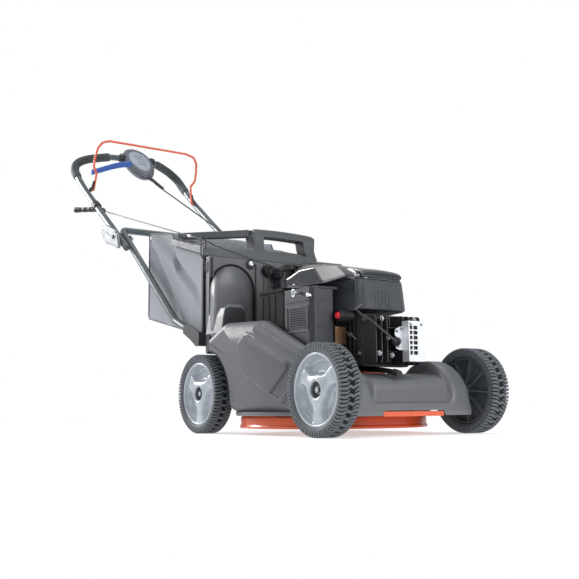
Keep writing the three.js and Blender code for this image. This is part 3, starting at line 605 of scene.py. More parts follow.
def tyre(name, body, centre, facing):
    half = 26.5
    tread = WHEEL_RADIUS - 7
    form = Form()
    form.turned([(82.5, -21), (86, -25), (93, -half + 0.3), (tread - 2, -24.5), (tread, -20), (tread, 20),
                 (tread - 2, 24.5), (93, half - 0.3), (86, 25), (82.5, 21)], centre, "Y", 96)
    shoulder = [((25.4, 88.5), (26.2, 88.8), 0.0), ((25.6, 92), (27.6, 94.5), 0.0),
                ((22.5, 95.5), (27.4, 102), 0.0), ((19, 97), (23, WHEEL_RADIUS), 0.0)]
    degree = math.radians(1)

    def inward(y, angle):
        return ((y, tread - 2), (y, WHEEL_RADIUS), angle)

    for i in range(36):
        turn = i * LUG_PITCH
        right = [(base, top, turn) for base, top, _ in shoulder]
        middle = [inward(14, turn + 0.4 * degree), inward(6, turn + 3.4 * degree),
                  inward(-4, turn + 1.4 * degree), inward(-14, turn + 4.6 * degree)]
        left = [((-b[0], b[1]), (-t[0], t[1]), turn + 5 * degree) for b, t, _ in reversed(shoulder)]
        lug(form, centre, facing, right + middle + left, 7.5)
        lug(form, centre, facing, [(b, t, turn + 5 * degree) for b, t, _ in shoulder]
            + [inward(13, turn + 5.6 * degree), inward(7, turn + 8.2 * degree)], 6.0)
        lug(form, centre, facing, [((-b[0], b[1]), (-t[0], t[1]), turn) for b, t, _ in shoulder]
            + [inward(-13, turn - 0.6 * degree), inward(-8, turn - 3.0 * degree)], 6.0)
    form.piece(name, body, "tyre", [name], bevel=0.5, segments=1, angle=40, smooth_angle=40)
    # A darker band between the tread bars: painted shade in the grooves.
    band = Form()
    band.turned([(tread - 1.7, -23.8), (tread + 0.2, -20), (tread + 0.2, 20), (tread - 1.7, 23.8),
                 (tread - 4, 20), (tread - 4, -20)], centre, "Y", 96)
    band.piece(name + "_grooves", body, "groove_shade")


def rim(name, body, centre, facing):
    """The wheel's body: a barrel with an inner lip, a web, radial ribs and a boss, seen from inside."""
    form = Form()
    profile = [(10, -24), (10, 8), (16, 8), (18, -1.5), (72, -1.5), (76, 15), (81.6, 16), (81.8, -18),
               (80.5, -20.5), (78, -20.5), (76.5, -18), (75, -8), (70, -4.5), (17, -4.5), (15, -22),
               (13.5, -24)]
    form.turned([(r, facing * depth) for r, depth in profile], centre, "Y", 72)
    ribs = 9
    for i in range(ribs):
        angle = math.radians(116) + 2 * math.pi * i / ribs
        along = Vector((math.cos(angle), 0, math.sin(angle)))
        beside = Vector((-math.sin(angle), 0, math.cos(angle)))
        rows = []
        for r, depth, half in ((13, -21, 1.9), (40, -17, 1.5), (78, -19, 1.6)):
            spot = Vector(centre) + along * r
            out, into = Vector((0, facing * depth, 0)), Vector((0, facing * -2.5, 0))
            rows.append([spot + out - beside * half, spot + out + beside * half,
                         spot + into + beside * (half + 0.4), spot + into - beside * (half + 0.4)])
        form.loft(rows)
    form.piece(name, body, "rim", [name], bevel=0.6, angle=40)


def wheel_cover(name, body, centre, facing):
    """The outer face: a bright ring round three broad spokes, with smooth pockets between them."""
    edge = {84.3: 15.0, 83.6: 20.0, 82: 22.2, 79.5: 22.6, 77.6: 21.8, 76.6: 20.0}
    rings = list(edge) + [75.6, 74, 72, 69.5, 67, 64, 60, 56, 52, 48, 44, 40, 37, 34, 31.5, 29, 27.5, 26,
                          24.5, 23, 21.5, 20.2, 19.4, 19.0]
    spokes = [math.radians(a) for a in (-90, 30, 150)]
    columns = 144

    def height(r, angle):
        if r in edge:
            return edge[r]
        if r < 19.2:
            return 7.8
        away = min(abs((angle - s + math.pi) % (2 * math.pi) - math.pi) for s in spokes)
        across = r * math.sin(min(away, math.pi / 2))
        half = 15.0 + 5.0 * smoothstep(r, 44, 74) + 16.0 * (1 - smoothstep(r, 22, 44))
        pocket = smoothstep(across, half - 2.0, half + 8.0)
        pocket *= smoothstep(r, 29, 40) * (1 - smoothstep(r, 66, 77))
        plateau = mix(20.0, 17.5, smoothstep(r, 28, 46))
        plateau = mix(plateau, 15.0, smoothstep(r, 60, 75.6))
        collar = 1.6 * (1 - smoothstep(abs(r - 24.0), 1.5, 4.5))
        crown = 1.4 * math.cos(min(across / half, 1.0) * math.pi / 2)
        return plateau + collar + crown - 15.5 * pocket

    rows = []
    for r in rings:
        row = []
        for angle in turns(columns):
            spot = Vector((r * math.cos(angle), facing * height(r, angle), r * math.sin(angle)))
            row.append(Vector(centre) + spot)
        rows.append(row)
    form = Form()
    form.grid(rows, close_columns=True)
    form.piece(name, body, "silver", [name], solid=facing * -1.4, smooth_angle=55)
    # Two short ribs are moulded into the foot of each spoke.
    ribs = Form()
    for angle in spokes:
        along = Vector((math.cos(angle), 0, math.sin(angle)))
        beside = Vector((-math.sin(angle), 0, math.cos(angle)))
        for side in (-3.2, 3.2):
            start = Vector(centre) + along * 58 + beside * side + Vector((0, facing * 17.4, 0))
            ribs.rod(start, start + along * 12 - Vector((0, facing * 1.2, 0)), 1.1, 10)
    ribs.piece(name + "_ribs", body, "silver", smooth_angle=60)


def hub(name, body, centre, facing):
    """The axle's end in the hub's recess: a dark cup, a washer and a hexagonal nut."""
    def level(profile):
        return [(r, facing * depth) for r, depth in profile]

    def out(depth):
        return Vector(centre) + Vector((0, facing * depth, 0))

    cup = Form()
    cup.turned(level([(6, 8.2), (18.9, 8.2), (18.9, 18), (17.8, 18.4), (16.8, 17.4), (15.6, 11),
                      (12.5, 10.4), (6, 10.2)]),
               centre, "Y", 48)
    cup.piece(name + "_cup", body, "rim", bevel=0.3)
    washer = Form()
    washer.turned(level([(3, 10), (9.4, 10), (9.8, 10.6), (9.4, 11.4), (3, 11.4)]), centre, "Y", 36)
    washer.piece(name + "_washer", body, "plain", bevel=0.2)
    nut = Form()
    nut.rod(out(11), out(16), 6.6, 6)
    nut.rod(out(15.5), out(19), 3.4, 20)
    nut.piece(name + "_nut", body, "bright", bevel=0.5)


def wheels():
    for end, x in (("front", 0.0), ("rear", -WHEELBASE)):
        for side, facing in (("left", 1), ("right", -1)):
            spot = (x, facing * HALF_TRACK, WHEEL_RADIUS)
            body = f"wheel_{end}_{side}"
            tyre(f"tyre_{end}_{side}", body, spot, facing)
            rim(f"wheel_rim_{end}_{side}", body, spot, facing)
            wheel_cover(f"wheel_cover_{end}_{side}", body, spot, facing)
            hub(f"hub_{end}_{side}", body, spot, facing)


# ---- handle, its grips, levers and cables ----
TUBE_RADIUS = 11.0
LEG_Y, LOWER_Y = 224.0, 200.0
fold = next(j for j in frame["joints"] if j["name"] == "handle_fold")
FOLD_X, FOLD_Z = (fold["pos_m"][0] - FRONT_X) / MM, fold["pos_m"][2] / MM
UPPER_HALF = [
    (-1060, LEG_Y, 584), (-1390, LEG_Y, 824), (-1500, LEG_Y, 914), (-1532, LEG_Y - 1, 943),
    (-1553, 214, 972), (-1560, 194, 992), (-1552, 166, 1004), (-1532, 130, 1010), (-1512, 96, 1013),
    (-1490, 56, 1010), (-1478, 20, 1007),
]


def upper_path():
    left = [Vector(p) for p in UPPER_HALF]
    return mirrored(left) + left[::-1]


def upper_handle():
    points = upper_path()
    path = smooth(points, 6)
    Form().tube(path, TUBE_RADIUS, 24).piece("upper_handle", "folding_handle", "tube", ["upper_handle"])
    for side, first, last in (("right", 2, 8), ("left", 13, 19)):
        grip = path[first * 6:last * 6 + 1]
        form = Form()
        form.tube(grip, lambda t: 15.6 - 1.8 * (smoothstep(abs(t - 0.5), 0.485, 0.5)), 28)
        form.piece(f"grip_{side}", "folding_handle", "foam", [f"grip_{side}"], bevel=1.5, segments=3,
                   angle=50)


def lower_handle():
    side = [(-600, LOWER_Y, 262), (-679, LOWER_Y, 289), (-762, LOWER_Y, 323),
            (FOLD_X - 22, LOWER_Y, FOLD_Z + 18), (FOLD_X - 42, LOWER_Y - 6, FOLD_Z + 34)]
    lower = rounded(mirrored(side) + [Vector(p) for p in side[::-1]], 30, 8)
    Form().tube(lower, TUBE_RADIUS, 24).piece("lower_handle", "chassis", "tube", ["lower_handle"])


def bail():
    pivot = next(j for j in frame["joints"] if j["name"] == "bail_squeeze")["pos_m"]
    x, z = (pivot[0] - FRONT_X) / MM, pivot[2] / MM
    y = 200.0
    half = [(x, y + 10, z), (x, y, z), (x + 4, y - 8, z + 64), (x + 12, y + 6, z + 84),
            (x + 22, y + 6, z + 116), (x + 34, y + 1, z + 148), (-1366, y - 14, 1020), (-1376, y - 44, 1032)]
    crossing = [Vector((-1381, -90, 1034)), Vector((-1381, 90, 1034))]
    route = mirrored(half) + crossing + [Vector(p) for p in half[::-1]]
    Form().tube(rounded(route, 18, 6), 4.2, 16).piece("bail", "bail_body", "bail", ["bail"])
    for facing in (-1, 1):
        form = Form()
        form.rod((x - 2, facing * (y + 6), z + 2), (x - 2, facing * (LEG_Y - 10), z + 2), 8, 24)
        form.rod((x - 2, facing * (y + 4), z + 4), (x + 2, facing * (y - 1), z + 34), 6.5, 20, 5)
        form.piece(f"bail_socket_{'left' if facing > 0 else 'right'}", "bail_body", "black", bevel=1.5,
                   segments=3)


def clamp_levers():
    for side, facing in (("left", 1), ("right", -1)):
        y = facing * (LEG_Y + TUBE_RADIUS)
        plan = round_outline([(FOLD_X + a, FOLD_Z + b, r) for a, b, r in (
            (-98, 56, 8), (-112, 38, 6), (-92, 12, 30), (-60, -14, 6), (-34, -20, 10), (0, -30, 10),
            (34, -44, 8), (42, -36, 6), (26, 4, 20), (6, 24, 12), (-26, 36, 30), (-64, 50, 40))], 5)
        form = Form()
        pillow(form, plan, sideways, y + facing * 4, y + facing * 12.5, 4.0, 5)
        form.rod((FOLD_X, y, FOLD_Z), (FOLD_X, y + facing * 13.4, FOLD_Z), 17, 32, 15)
        rib = [(FOLD_X - 88, FOLD_Z + 38), (FOLD_X - 50, FOLD_Z + 20), (FOLD_X - 14, FOLD_Z + 2)]
        form.tube([(a, y + facing * 12, b) for a, b in rib], 2.6, 10)
        form.piece(f"clamp_lever_{side}", f"clamp_{side}", "clamp", [f"clamp_lever_{side}"], smooth_angle=50)


CARRIED = {
    "plain": ["front_axle", "rear_axle", "crankshaft", "blade"],
    "black_steel": ["blade_holder", "handle_bracket_left", "handle_bracket_right"],
    "casting": ["gearbox"],
    "control": ["height_lever"],
}


def carried_nodes():
    """CAD nodes whose shapes are right keep them, and get a finished material and broken edges."""
    for look, nodes in CARRIED.items():
        for node in nodes:
            piece = frame["nodes"][node]
            piece.data.materials.clear()
            piece.data.materials.append(LOOKS[look][1])
            round_edges(piece, 0.8, 2, 35)


# ---- outlines ----
def value_at(points, x):
    """A height read off a line of (x, height) points."""
    for (x0, z0), (x1, z1) in zip(points, points[1:]):
        if min(x0, x1) <= x <= max(x0, x1):
            return mix(z0, z1, (x - x0) / (x1 - x0))
    return points[-1][1]


def arc(centre, radius, start, end, steps=12):
    """Points on an arc, with the angles in degrees."""
    points = []
    for i in range(steps + 1):
        angle = math.radians(mix(start, end, i / steps))
        points.append((centre[0] + radius * math.cos(angle), centre[1] + radius * math.sin(angle)))
    return points


def round_outline(corners, steps=6):
    """A closed outline with each (x, y, radius) corner rounded."""
    points = []
    for i, (x, y, radius) in enumerate(corners):
        corner = Vector((x, y))
        back = Vector(corners[i - 1][:2]) - corner
        ahead = Vector(corners[(i + 1) % len(corners)][:2]) - corner
        reach = min(radius * math.tan((math.pi - back.angle(ahead)) / 2), back.length * 0.49,
                    ahead.length * 0.49)
        if reach < 0.01:
            points.append((x, y))
            continue
        start, end = corner + back.normalized() * reach, corner + ahead.normalized() * reach
        points += [(spot.x, spot.y) for spot in bend(start, corner, end, steps)]
    return points


def rounded_box(x0, x1, y0, y1, radius, steps=6):
    """A rectangle's outline with rounded corners."""
    return round_outline([(x0, y0, radius), (x1, y0, radius), (x1, y1, radius), (x0, y1, radius)], steps)


def sideways(a, b, level):
    """A point drawn in the (x, z) plane, with its level across the mower."""
    return (a, level, b)


def shrink(outline, distance):
    """The outline moved inwards by a distance."""
    area = sum(a[0] * b[1] - b[0] * a[1] for a, b in zip(outline, outline[1:] + outline[:1]))
    turn = 1 if area > 0 else -1
    moved = []
    for i, point in enumerate(outline):
        before, after = Vector(outline[i - 1]), Vector(outline[(i + 1) % len(outline)])
        here = Vector(point)
        one, two = (here - before), (after - here)
        if one.length < 1e-6 or two.length < 1e-6:
            one = two = after - before
        one, two = one.normalized(), two.normalized()
        inward = Vector((-(one.y + two.y), one.x + two.x)) * turn
        inward = inward.normalized() / max(math.sqrt((1 + one.dot(two)) / 2), 0.5)
        moved.append((point[0] + inward.x * distance, point[1] + inward.y * distance))
    return moved


def pillow(form, outline, place, base, top, radius, steps=6, middle=None):
    """An outline raised from base to top, its upper edge rounded; place turns (a, b, height) into a point.

    With a middle (a, b) the top is filled by rings that run in to it, so that it follows a curved place."""
    rows = [[place(a, b, base) for a, b in outline]]
    toward = 1 if top > base else -1
    for i in range(steps + 1):
        angle = math.pi / 2 * i / steps
        inset = radius * (1 - math.cos(angle))
        level = top - toward * radius * (1 - math.sin(angle))
        rows.append([place(a, b, level) for a, b in shrink(outline, inset)])
    if middle:
        brink = shrink(outline, radius)
        for share in (0.92, 0.84, 0.74, 0.64, 0.54, 0.44, 0.34, 0.24, 0.14, 0.06):
            rows.append([place(mix(middle[0], a, share), mix(middle[1], b, share), top) for a, b in brink])
    form.loft(rows)


def screw(form, spot, direction, radius):
    """A hexagon head on a washer."""
    spot, direction = Vector(spot), Vector(direction)
    seat = spot + direction * 1.4
    form.rod(spot, seat, radius * 1.35, 28)
    form.rod(seat, spot + direction * (1.4 + radius * 0.8), radius, 6, radius * 0.96)


# ---- duct: the scoop beside the deck and the domed tower behind it ----
DUCT_IN, DUCT_OUT = -186.0, -246.0
RIDGE_BACK, RIDGE_FRONT = (-296, 248), (-138, 174)
ARCH_RADIUS, ARCH_Z, ARCH_SHIFT = 121, 95, 4


def above_ridge(a, b):
    """How far a point of the scoop's side lies above the ridge line, square to it."""
    along = Vector((RIDGE_FRONT[0] - RIDGE_BACK[0], RIDGE_FRONT[1] - RIDGE_BACK[1])).normalized()
    return (b - RIDGE_BACK[1]) * along.x - (a - RIDGE_BACK[0]) * along.y


def duct_lean(a, b, level):
    """The scoop's wall leans in above its ridge and a little below it, and turns in toward its front end."""
    above = above_ridge(a, b)
    lean = 0.42 * (above + math.sqrt(above * above + 64))
    under = 0.06 * max(-above - 6, 0.0)
    turned = 0.0004 * max(a + 390, 0.0) ** 2
    keep = 1 - min((lean + under + turned) / 67, 0.78)
    return (a, DUCT_IN + (level - DUCT_IN) * keep, b)


def side_duct():
    front = arc((-ARCH_SHIFT, ARCH_Z), ARCH_RADIUS, 199, 128, 14)
    heel = arc((ARCH_SHIFT - WHEELBASE, ARCH_Z), ARCH_RADIUS, 78, -8, 14)
    lobe = round_outline([(front[-1][0], front[-1][1], 0), (-276, 283, 30), (-412, 286, 56), (-508, 250, 34),
                          (heel[0][0], heel[0][1], 0)])[1:-1]
    sole = [(-401, 68), (-390, 61), (-372, 56.5), (-340, 54.5), (-290, 54), (-250, 54), (-215, 54)]
    outline = [(front[0][0] - 3, 54)] + front + lobe + heel + sole
    form = Form()
    pillow(form, outline, duct_lean, DUCT_IN, DUCT_OUT, 22.0, 10, (-292, 158))
    form.piece("side_duct", "chassis", "cover", ["side_duct"], smooth_angle=50)


def duct_channel():
    """A channel raised on the scoop, with a smaller step and a lip round its front end."""
    channel = round_outline([(-334, 226, 26), (-282, 274, 14), (-84, 181, 10), (-91, 146, 18), (-168, 72, 18),
                             (-310, 146, 34)], 8)
    step = round_outline([(-318, 226, 20), (-292, 247, 10), (-139, 175, 8), (-142, 154, 12), (-206, 96, 20),
                          (-310, 152, 30)], 8)
    form = Form()
    pillow(form, channel, duct_lean, DUCT_OUT + 18, DUCT_OUT - 8, 7.0, 8, (-208, 166))
    form.piece("duct_channel", "chassis", "cover", smooth_angle=50)
    form = Form()
    pillow(form, step, duct_lean, DUCT_OUT + 12, DUCT_OUT - 20, 8.0, 9, (-222, 168))
    form.piece("duct_step", "chassis", "cover", smooth_angle=50)
    lip = [duct_lean(a, b, DUCT_OUT - 8.4) for a, b in
           round_outline([(-300, 256, 4), (-97, 177, 10), (-99, 149, 16), (-168, 84, 14), (-290, 143, 10)],
                         8)[6:-6]]
    Form().tube(lip, 2.0, 10).piece("duct_lip", "chassis", "cover")


def arch_ring(x, half, spring, foot, centre, steps=28, flare=0.0):
    """An arch seen from the front: two legs under a half circle, the outer leg flared at its foot."""
    legs = (0.0, 0.25, 0.5, 0.75)
    points = [(x, centre - half - flare * (1 - t) ** 1.5, mix(foot, spring, t)) for t in legs]
    for i in range(steps + 1):
        angle = math.pi - math.pi * i / steps
        points.append((x, centre + half * math.cos(angle), spring + half * math.sin(angle)))
    points += [(x, centre + half, mix(foot, spring, t)) for t in reversed(legs)]
    return points


DOME_BACK = -579.0


def duct_tower():
    """The domed box from the scoop to the catcher's mouth, swelling outwards as it comes forward."""
    stations = ((-579, -115, 70, 400, 0), (-572, -120.5, 68.5, 397.5, 1), (-562, -128, 68, 392, 3),
                (-548, -137, 67, 385, 6), (-532, -145.5, 65.5, 376.5, 8), (-516, -153.5, 62.5, 365.5, 8),
                (-502, -159, 58, 354, 7), (-490, -163, 51, 341, 5), (-481, -166, 43, 325, 3),
                (-475, -168.5, 34.5, 305.5, 2), (-472, -170, 24, 288, 0))
    sections = []
    for x, centre, half, spring, flare in stations:
        sections.append(arch_ring(x, half, spring, 247, centre, 30, flare))
    form = Form()
    form.grid(sections, close_columns=True)
    form.piece("duct_tower", "chassis", "cover", ["duct_tower"], solid=2.5, subdivide=1, smooth_angle=70)


def duct_hood():
    """The hood where the scoop's neck enters the tower, its face set back inside a band."""
    form = Form()
    flank = [(-222, 266), (-214, 312), (-205, 337), (-178, 357), (-132, 359), (-117, 346), (-106, 306),
             (-102, 266)]
    face = [(-226, 266), (-222, 307), (-217, 330), (-205, 336), (-166, 336), (-155, 329), (-144, 290),
            (-142, 266)]
    hood = []
    for x, share, inset in ((-540, -0.1, 0), (-500, 0.0, 0), (-458, 0.9, 0), (-450, 0.98, 0),
                            (-447.6, 1.0, 0.6), (-447, 1.0, 2.0)):
        outline = round_outline([(mix(y0, y1, share), mix(z0, z1, share), 0 if i in (0, 7) else 11)
                                 for i, ((y0, z0), (y1, z1)) in enumerate(zip(flank, face))], 5)
        hood.append([(x, y, z) for y, z in (shrink(outline, inset) if inset else outline)])
    form.loft(hood)
    form.piece("duct_hood", "chassis", "cover", smooth_angle=50)
    # The face is a darker copy of the cover plastic: painted shade.
    mouth = Form()
    mouth.prism(shrink(outline, 2.6), "x", -448.5, -446.2)
    mouth.piece("hood_face", "chassis", "shade", bevel=0.6)


def tower_groove_shade():
    """A dark ring round the tower on the bulkhead: painted shade in the groove where the tower meets the
    plate.
    """
    shade_ring = [Vector(p) for p in arch_ring(DOME_BACK + 2.0, 72, 399, 280, -115.5)]
    Form().tube(shade_ring, 3.0, 12).piece("tower_groove_shade", "chassis", "groove_shade")


# ---- bulkhead ----
PLATE_BACK, PLATE_FRONT = -590.0, -580.0
BOLT_SPOT, KNOB_SPOT = (0, -54, 478), (0, 2, 463)


def bulkhead():
    y0, y1 = node_box("rear_bulkhead")[1]
    z1 = node_box("rear_bulkhead")[2][1]
    mouth = [(p[1], p[2]) for p in arch_ring(0, 64, 398, 262, -110, 24)]
    form = Form()
    form.prism(round_outline([(y0, 216, 6), (y1, 216, 6), (y1, z1, 8), (y0, z1, 8)]), "x", PLATE_BACK,
               PLATE_FRONT)
    form.block((PLATE_BACK, PLATE_FRONT), (-150, 150), (119, 218))
    hole = Form()
    hole.prism(mouth, "x", PLATE_BACK - 10, PLATE_FRONT + 10)
    form.carve(hole)
    form.block((PLATE_BACK, -490), (-150, 150), (119, 125))
    form.piece("rear_bulkhead", "chassis", "cover", ["rear_bulkhead"], bevel=1.6, angle=40)


def bulkhead_ribs():
    """Ribs, side flanges and a stepped pocket that stiffen the plate."""
    y0 = node_box("rear_bulkhead")[1][0]
    z1 = node_box("rear_bulkhead")[2][1]
    x = PLATE_FRONT
    form = Form()
    for proud, across, upright in (
        (6, (-36, -32), (226, z1 - 10)), (4, (-8, -5), (226, z1 - 10)),
        (9, (y0, y0 + 4), (222, z1 - 3)), (9, (y0 + 13, y0 + 16), (222, z1 - 3)),
        (5, (6, 84), (366, 370)), (5, (6, 84), (420, 424)), (5, (6, 10), (366, 424)),
        (5, (80, 84), (366, 424)), (6, (96, 100), (150, z1 - 8)), (6, (128, 132), (150, z1 - 8)),
    ):
        form.block((x - 2, x + proud), across, upright)
    form.piece("bulkhead_ribs", "chassis", "cover", bevel=1.2)


def bulkhead_fittings():
    """A bolt in its grommet, a fluted knob and a stepped bracket on the plate's front."""
    x = PLATE_FRONT
    form = Form()
    form.turned([(0.01, x), (15, x), (15, x + 2), (13.4, x + 3), (12.8, x + 2.2), (0.01, x + 2.2)],
                BOLT_SPOT, "X", 36)
    form.piece("bolt_grommet", "chassis", "cable", bevel=0.3)
    form = Form()
    form.turned([(0.01, x + 2), (9.4, x + 2), (9.4, x + 6), (8.6, x + 9), (6, x + 11.5), (3, x + 12.3),
                 (0.01, x + 12.5)],
                BOLT_SPOT, "X", 32)
    form.piece("bulkhead_bolt", "chassis", "bright", smooth_angle=60)
    knob = Form()
    knob.turned([(0.01, x), (15, x), (15, x + 18), (12, x + 21), (7, x + 19), (0.01, x + 19)], KNOB_SPOT,
                "X", 40)
    for turn in turns(12):
        y, z = KNOB_SPOT[1] + 15 * math.cos(turn), KNOB_SPOT[2] + 15 * math.sin(turn)
        knob.rod((x + 1, y, z), (x + 18, y, z), 2.6, 10)
    knob.piece("bulkhead_knob", "chassis", "black", bevel=0.6)
    form = Form()
    form.prism(rounded_box(17, 70, 440, 470, 5), "x", x, x + 52)
    form.prism(rounded_box(26, 48, 404, 442, 3), "x", x, x + 40)
    form.prism(rounded_box(22, 44, 447, 463, 3), "x", x + 50, x + 72)
    form.piece("bulkhead_bracket", "chassis", "shroud", bevel=2.0, segments=3)


def left_cover():
    (x0, x1), (y0, y1), (z0, z1) = node_box("left_rear_cover")
    form = Form()
    side = round_outline([(x0, z0, 0), (x1 - 4, z0, 10), (-512, 380, 30), (-528, z1, 8), (x0, z1, 0)])
    middle = (y0 + y1) / 2
    pillow(form, side, sideways, middle, y1, 8.0)
    pillow(form, side, sideways, middle, y0, 3.0)
    form.piece("left_rear_cover", "chassis", "cover", ["left_rear_cover"], smooth_angle=40)


# ---- deck shell and its cover ----
def deck_shell():
    r = (node_box("deck_shell")[1][1] - node_box("deck_shell")[1][0]) / 2
    form = Form()
    form.turned([(r - 2, 16), (r, 18), (r, 21), (r - 1.5, 23), (r - 3, 25), (r - 3.4, 40), (r - 4.5, 43),
                 (r - 7, 46), (r - 7, 92), (r - 12, 103), (r - 24, 114), (112, 114), (104, 151), (22, 151),
                 (22, 148), (101, 148), (109, 111), (r - 25, 111), (r - 15, 101), (r - 10, 91), (r - 10, 16)],
                (DECK_X, 0, 0), "Z", 112)
    outlet = Form().block((-404, -110), (-260, -200), (44, 104))
    form.carve(outlet)
    form.block((-40, 43.5), (-93, 93), (50, 53))
    form.prism([(41.5, 44.5), (44.5, 44.5), (44.5, 56), (41.5, 56)], "y", -93, 93)
    form.block((-128, -84), (-44, 24), (144, 152))
    form.piece("deck_shell", "chassis", "deck", ["deck_shell"], bevel=0.8, angle=40)


FENDER_X, FENDER_Z, FENDER_R = -62.0, 70.0, 109.0
LEDGE_LEVELS = (53.6, 56.6)


def deck_cover():
    centre = [(47, 46), (47, 60), (46.6, 70), (44.5, 74.5), (40.5, 76.5), (39.6, 84), (38.6, 104),
              (37.6, 114), (34, 123), (26, 129.5), (10, 134.5), (-20, 140), (-60, 146), (-110, 148),
              (-150, 148), (-171, 148)]
    arc_points = [(47, 46), (47, 60)] + arc((FENDER_X, FENDER_Z), FENDER_R, 6, 172, 13)

    def station(y):
        high = smoothstep(abs(y), 113, 136)
        foot = mix(58, 46, smoothstep(abs(y), 90, 99))
        edge = smoothstep(abs(y), 170, 182)
        row = []
        for i, ((cx, cz), (ax, az)) in enumerate(zip(centre, arc_points)):
            if i < 2:
                z = foot if i == 0 else max(az, foot + 4)
                row.append((mix(cx, ax, high), y, z))
                continue
            shrunk = 1 - 0.045 * edge * edge
            ax = FENDER_X + (ax - FENDER_X) * shrunk
            az = FENDER_Z + (az - FENDER_Z) * shrunk
            row.append((mix(cx, ax, high), y, mix(cz, az, high)))
        return row

    marks = [0, 30, 60, 85, 90, 93, 96, 99, 106, 112, 116, 120, 124, 128, 132, 136, 145, 158, 168, 173, 177,
             180, 182]
    ys = [-y for y in reversed(marks[1:])] + marks
    rows = [station(y) for y in ys]
    form = Form()
    form.grid(rows)
    for row, turn in ((rows[0], 1), (rows[-1], -1)):
        form.face(row[::turn])
    form.merge()
    form.piece("deck_cover", "chassis", "cover", ["deck_cover"], solid=2.6, smooth_angle=32)


def deck_skirt():
    """The cover's skirt round the blade housing, and a ledge from its rim to the foot of the scoop."""
    skirt = Form()
    skirt.turned([(249, 47), (250, 48.5), (250, 73), (248, 78), (240, 104), (235, 111), (207, 130.5),
                  (200, 134), (152, 144), (128, 146), (128, 143), (150, 141), (198, 131), (205, 127.5),
                  (232, 108.5), (237, 102), (245, 77), (247, 72), (247, 47)], (DECK_X, 0, 0), "Z", 120)
    skirt.carve(Form().block((-402, -110), (-300, -150), (54, 200)),
                Form().block((-61, 60), (-113, 113), (20, 200)))
    skirt.piece("deck_cover_skirt", "chassis", "cover", smooth_angle=32)
    rim, foot = (arc((DECK_X, 0), radius, -134, -50, 36) for radius in (248, 198))
    ledge = Form()
    ledge.prism(rim + foot[::-1], "z", *LEDGE_LEVELS)
    ledge.piece("deck_ledge", "chassis", "cover", bevel=0.5)


# ---- engine ----
FIN_PITCH = 17


def crankcase():
    form = Form()
    form.turned([(14, 153), (100, 153), (100, 161), (90, 166), (90, 268), (86, 276), (76, 283), (14, 284)],
                (DECK_X, 0, 0), "Z", 64)
    form.block((-216, -75), (-52, 52), (182, 268))
    for i in range(6):
        x = -170 + i * FIN_PITCH
        form.prism(rounded_box(-72, 72, 166, 282, 8, 3), "x", x, x + 3.4)
    for y in (-66, -58):
        form.rod((-176, y, 174), (-74.5, y, 174), 4, 16)
    form.piece("crankcase", "chassis", "casting", ["crankcase"], bevel=0.9, angle=35)


def cylinder_head():
    form = Form()
    form.prism(rounded_box(-72, 72, 162, 286, 8, 3), "x", -74, -50)
    for i in range(9):
        y = -70 + i * FIN_PITCH
        nose = -34 if i in (3, 4) else -4
        form.prism(round_outline([(-64, 166, 0), (nose, 166, 10), (nose, 282, 10), (-64, 282, 0)], 4), "y",
                   y, y + 3.4)
    for z in (196, 224, 252):
        form.block((-60, -22), (-66, 66), (z, z + 3))
    form.piece("cylinder_head", "chassis", "casting", ["cylinder_head"], bevel=0.9, angle=35)


def engine_bolts():
    """Bolts on bosses on the front of the head and on the cylinder's right side."""
    bolts = Form()
    for y, z in ((-50, 273), (-31, 228), (-59, 191), (-20, 187), (44, 190), (52, 273)):
        bolts.rod((-46, y, z), (-6, y, z), 5.5, 20)
        screw(bolts, (-6, y, z), (1, 0, 0), 4.6)
    for x, z in ((-38, 274), (-95, 240), (-62, 192)):
        bolts.rod((x, -66, z), (x, -74, z), 5.8, 20)
        screw(bolts, (x, -74, z), (0, -1, 0), 4.6)
    bolts.piece("engine_bolts", "chassis", "plain", bevel=0.5)


def shroud_plan():
    half = [(-58, 58), (-64, 68), (-74, 74), (-190, 104), (-290, 127), (-310, 128), (-384, 128), (-400, 124),
            (-428, 84)]
    return half + [(x, -y) for x, y in reversed(half)]


def shroud():
    z0, z1 = node_box("blower_housing")[2]
    form = Form()
    outer = shroud_plan()
    rows = []
    for z, inset in ((z0, -3.5), (z0 + 1.5, -5.5), (z0 + 5, -6.0), (z1 - 30, -2.4), (z1 - 4, 0.4),
                     (z1 - 0.4, 2), (z1 - 0.4, 5), (z0 + 4, -2)):
        rows.append([(x, y, z) for x, y in shrink(outer, inset)])
    form.grid(rows, close_columns=True)
    floor = [(x, y, z0 + 4) for x, y in shrink(outer, -2)]
    form.face(floor)
    form.face(rows[0][::-1])
    form.merge()
    form.piece("blower_housing", "chassis", "shroud", ["blower_housing"], smooth_angle=28)


def shroud_plates():
    """Plates that close the housing at its foot and under the cover."""
    z0, z1 = node_box("blower_housing")[2]
    outer = shroud_plan()
    plates = Form()
    plates.prism(shrink(outer, -1), "z", z0 - 1.0, z0 + 0.6)
    plates.prism(shrink(outer, 5), "z", z1 - 3, z1 - 0.8)
    plates.piece("shroud_plates", "chassis", "matte", bevel=0.4)


def shroud_slats():
    """Upright slats raised on the front face between narrow grooves, and the seam on its right corner."""
    x1 = node_box("blower_housing")[0][1]
    slats = Form()
    edges = [-32, -18, -7, 4, 15, 27]
    for i, (left, right) in enumerate(zip(edges, edges[1:])):
        top = 348 - 5 * abs(i - 1.6)
        lean = 5 if i == 0 else 0
        rows = []
        for y, z in ((left + 0.8, 302), (right - 0.8, 302), (right - 0.8 + lean * 0.4, top),
                     (left + 0.8 + lean, top - lean)):
            slope = mix(5.4, 0.6, (z - 302) / 70)
            rows.append(((x1 + slope - 3, y, z), (x1 + slope + 1.8, y, z)))
        slats.loft([[row[k] for row in rows] for k in (0, 1)])
    slats.piece("shroud_slats", "chassis", "shroud", bevel=0.9, segments=3)
    seam = Form()
    seam.block((-76, -71), (-77.5, -72), (303, 366))
    seam.piece("shroud_seam", "chassis", "black", bevel=0.8)


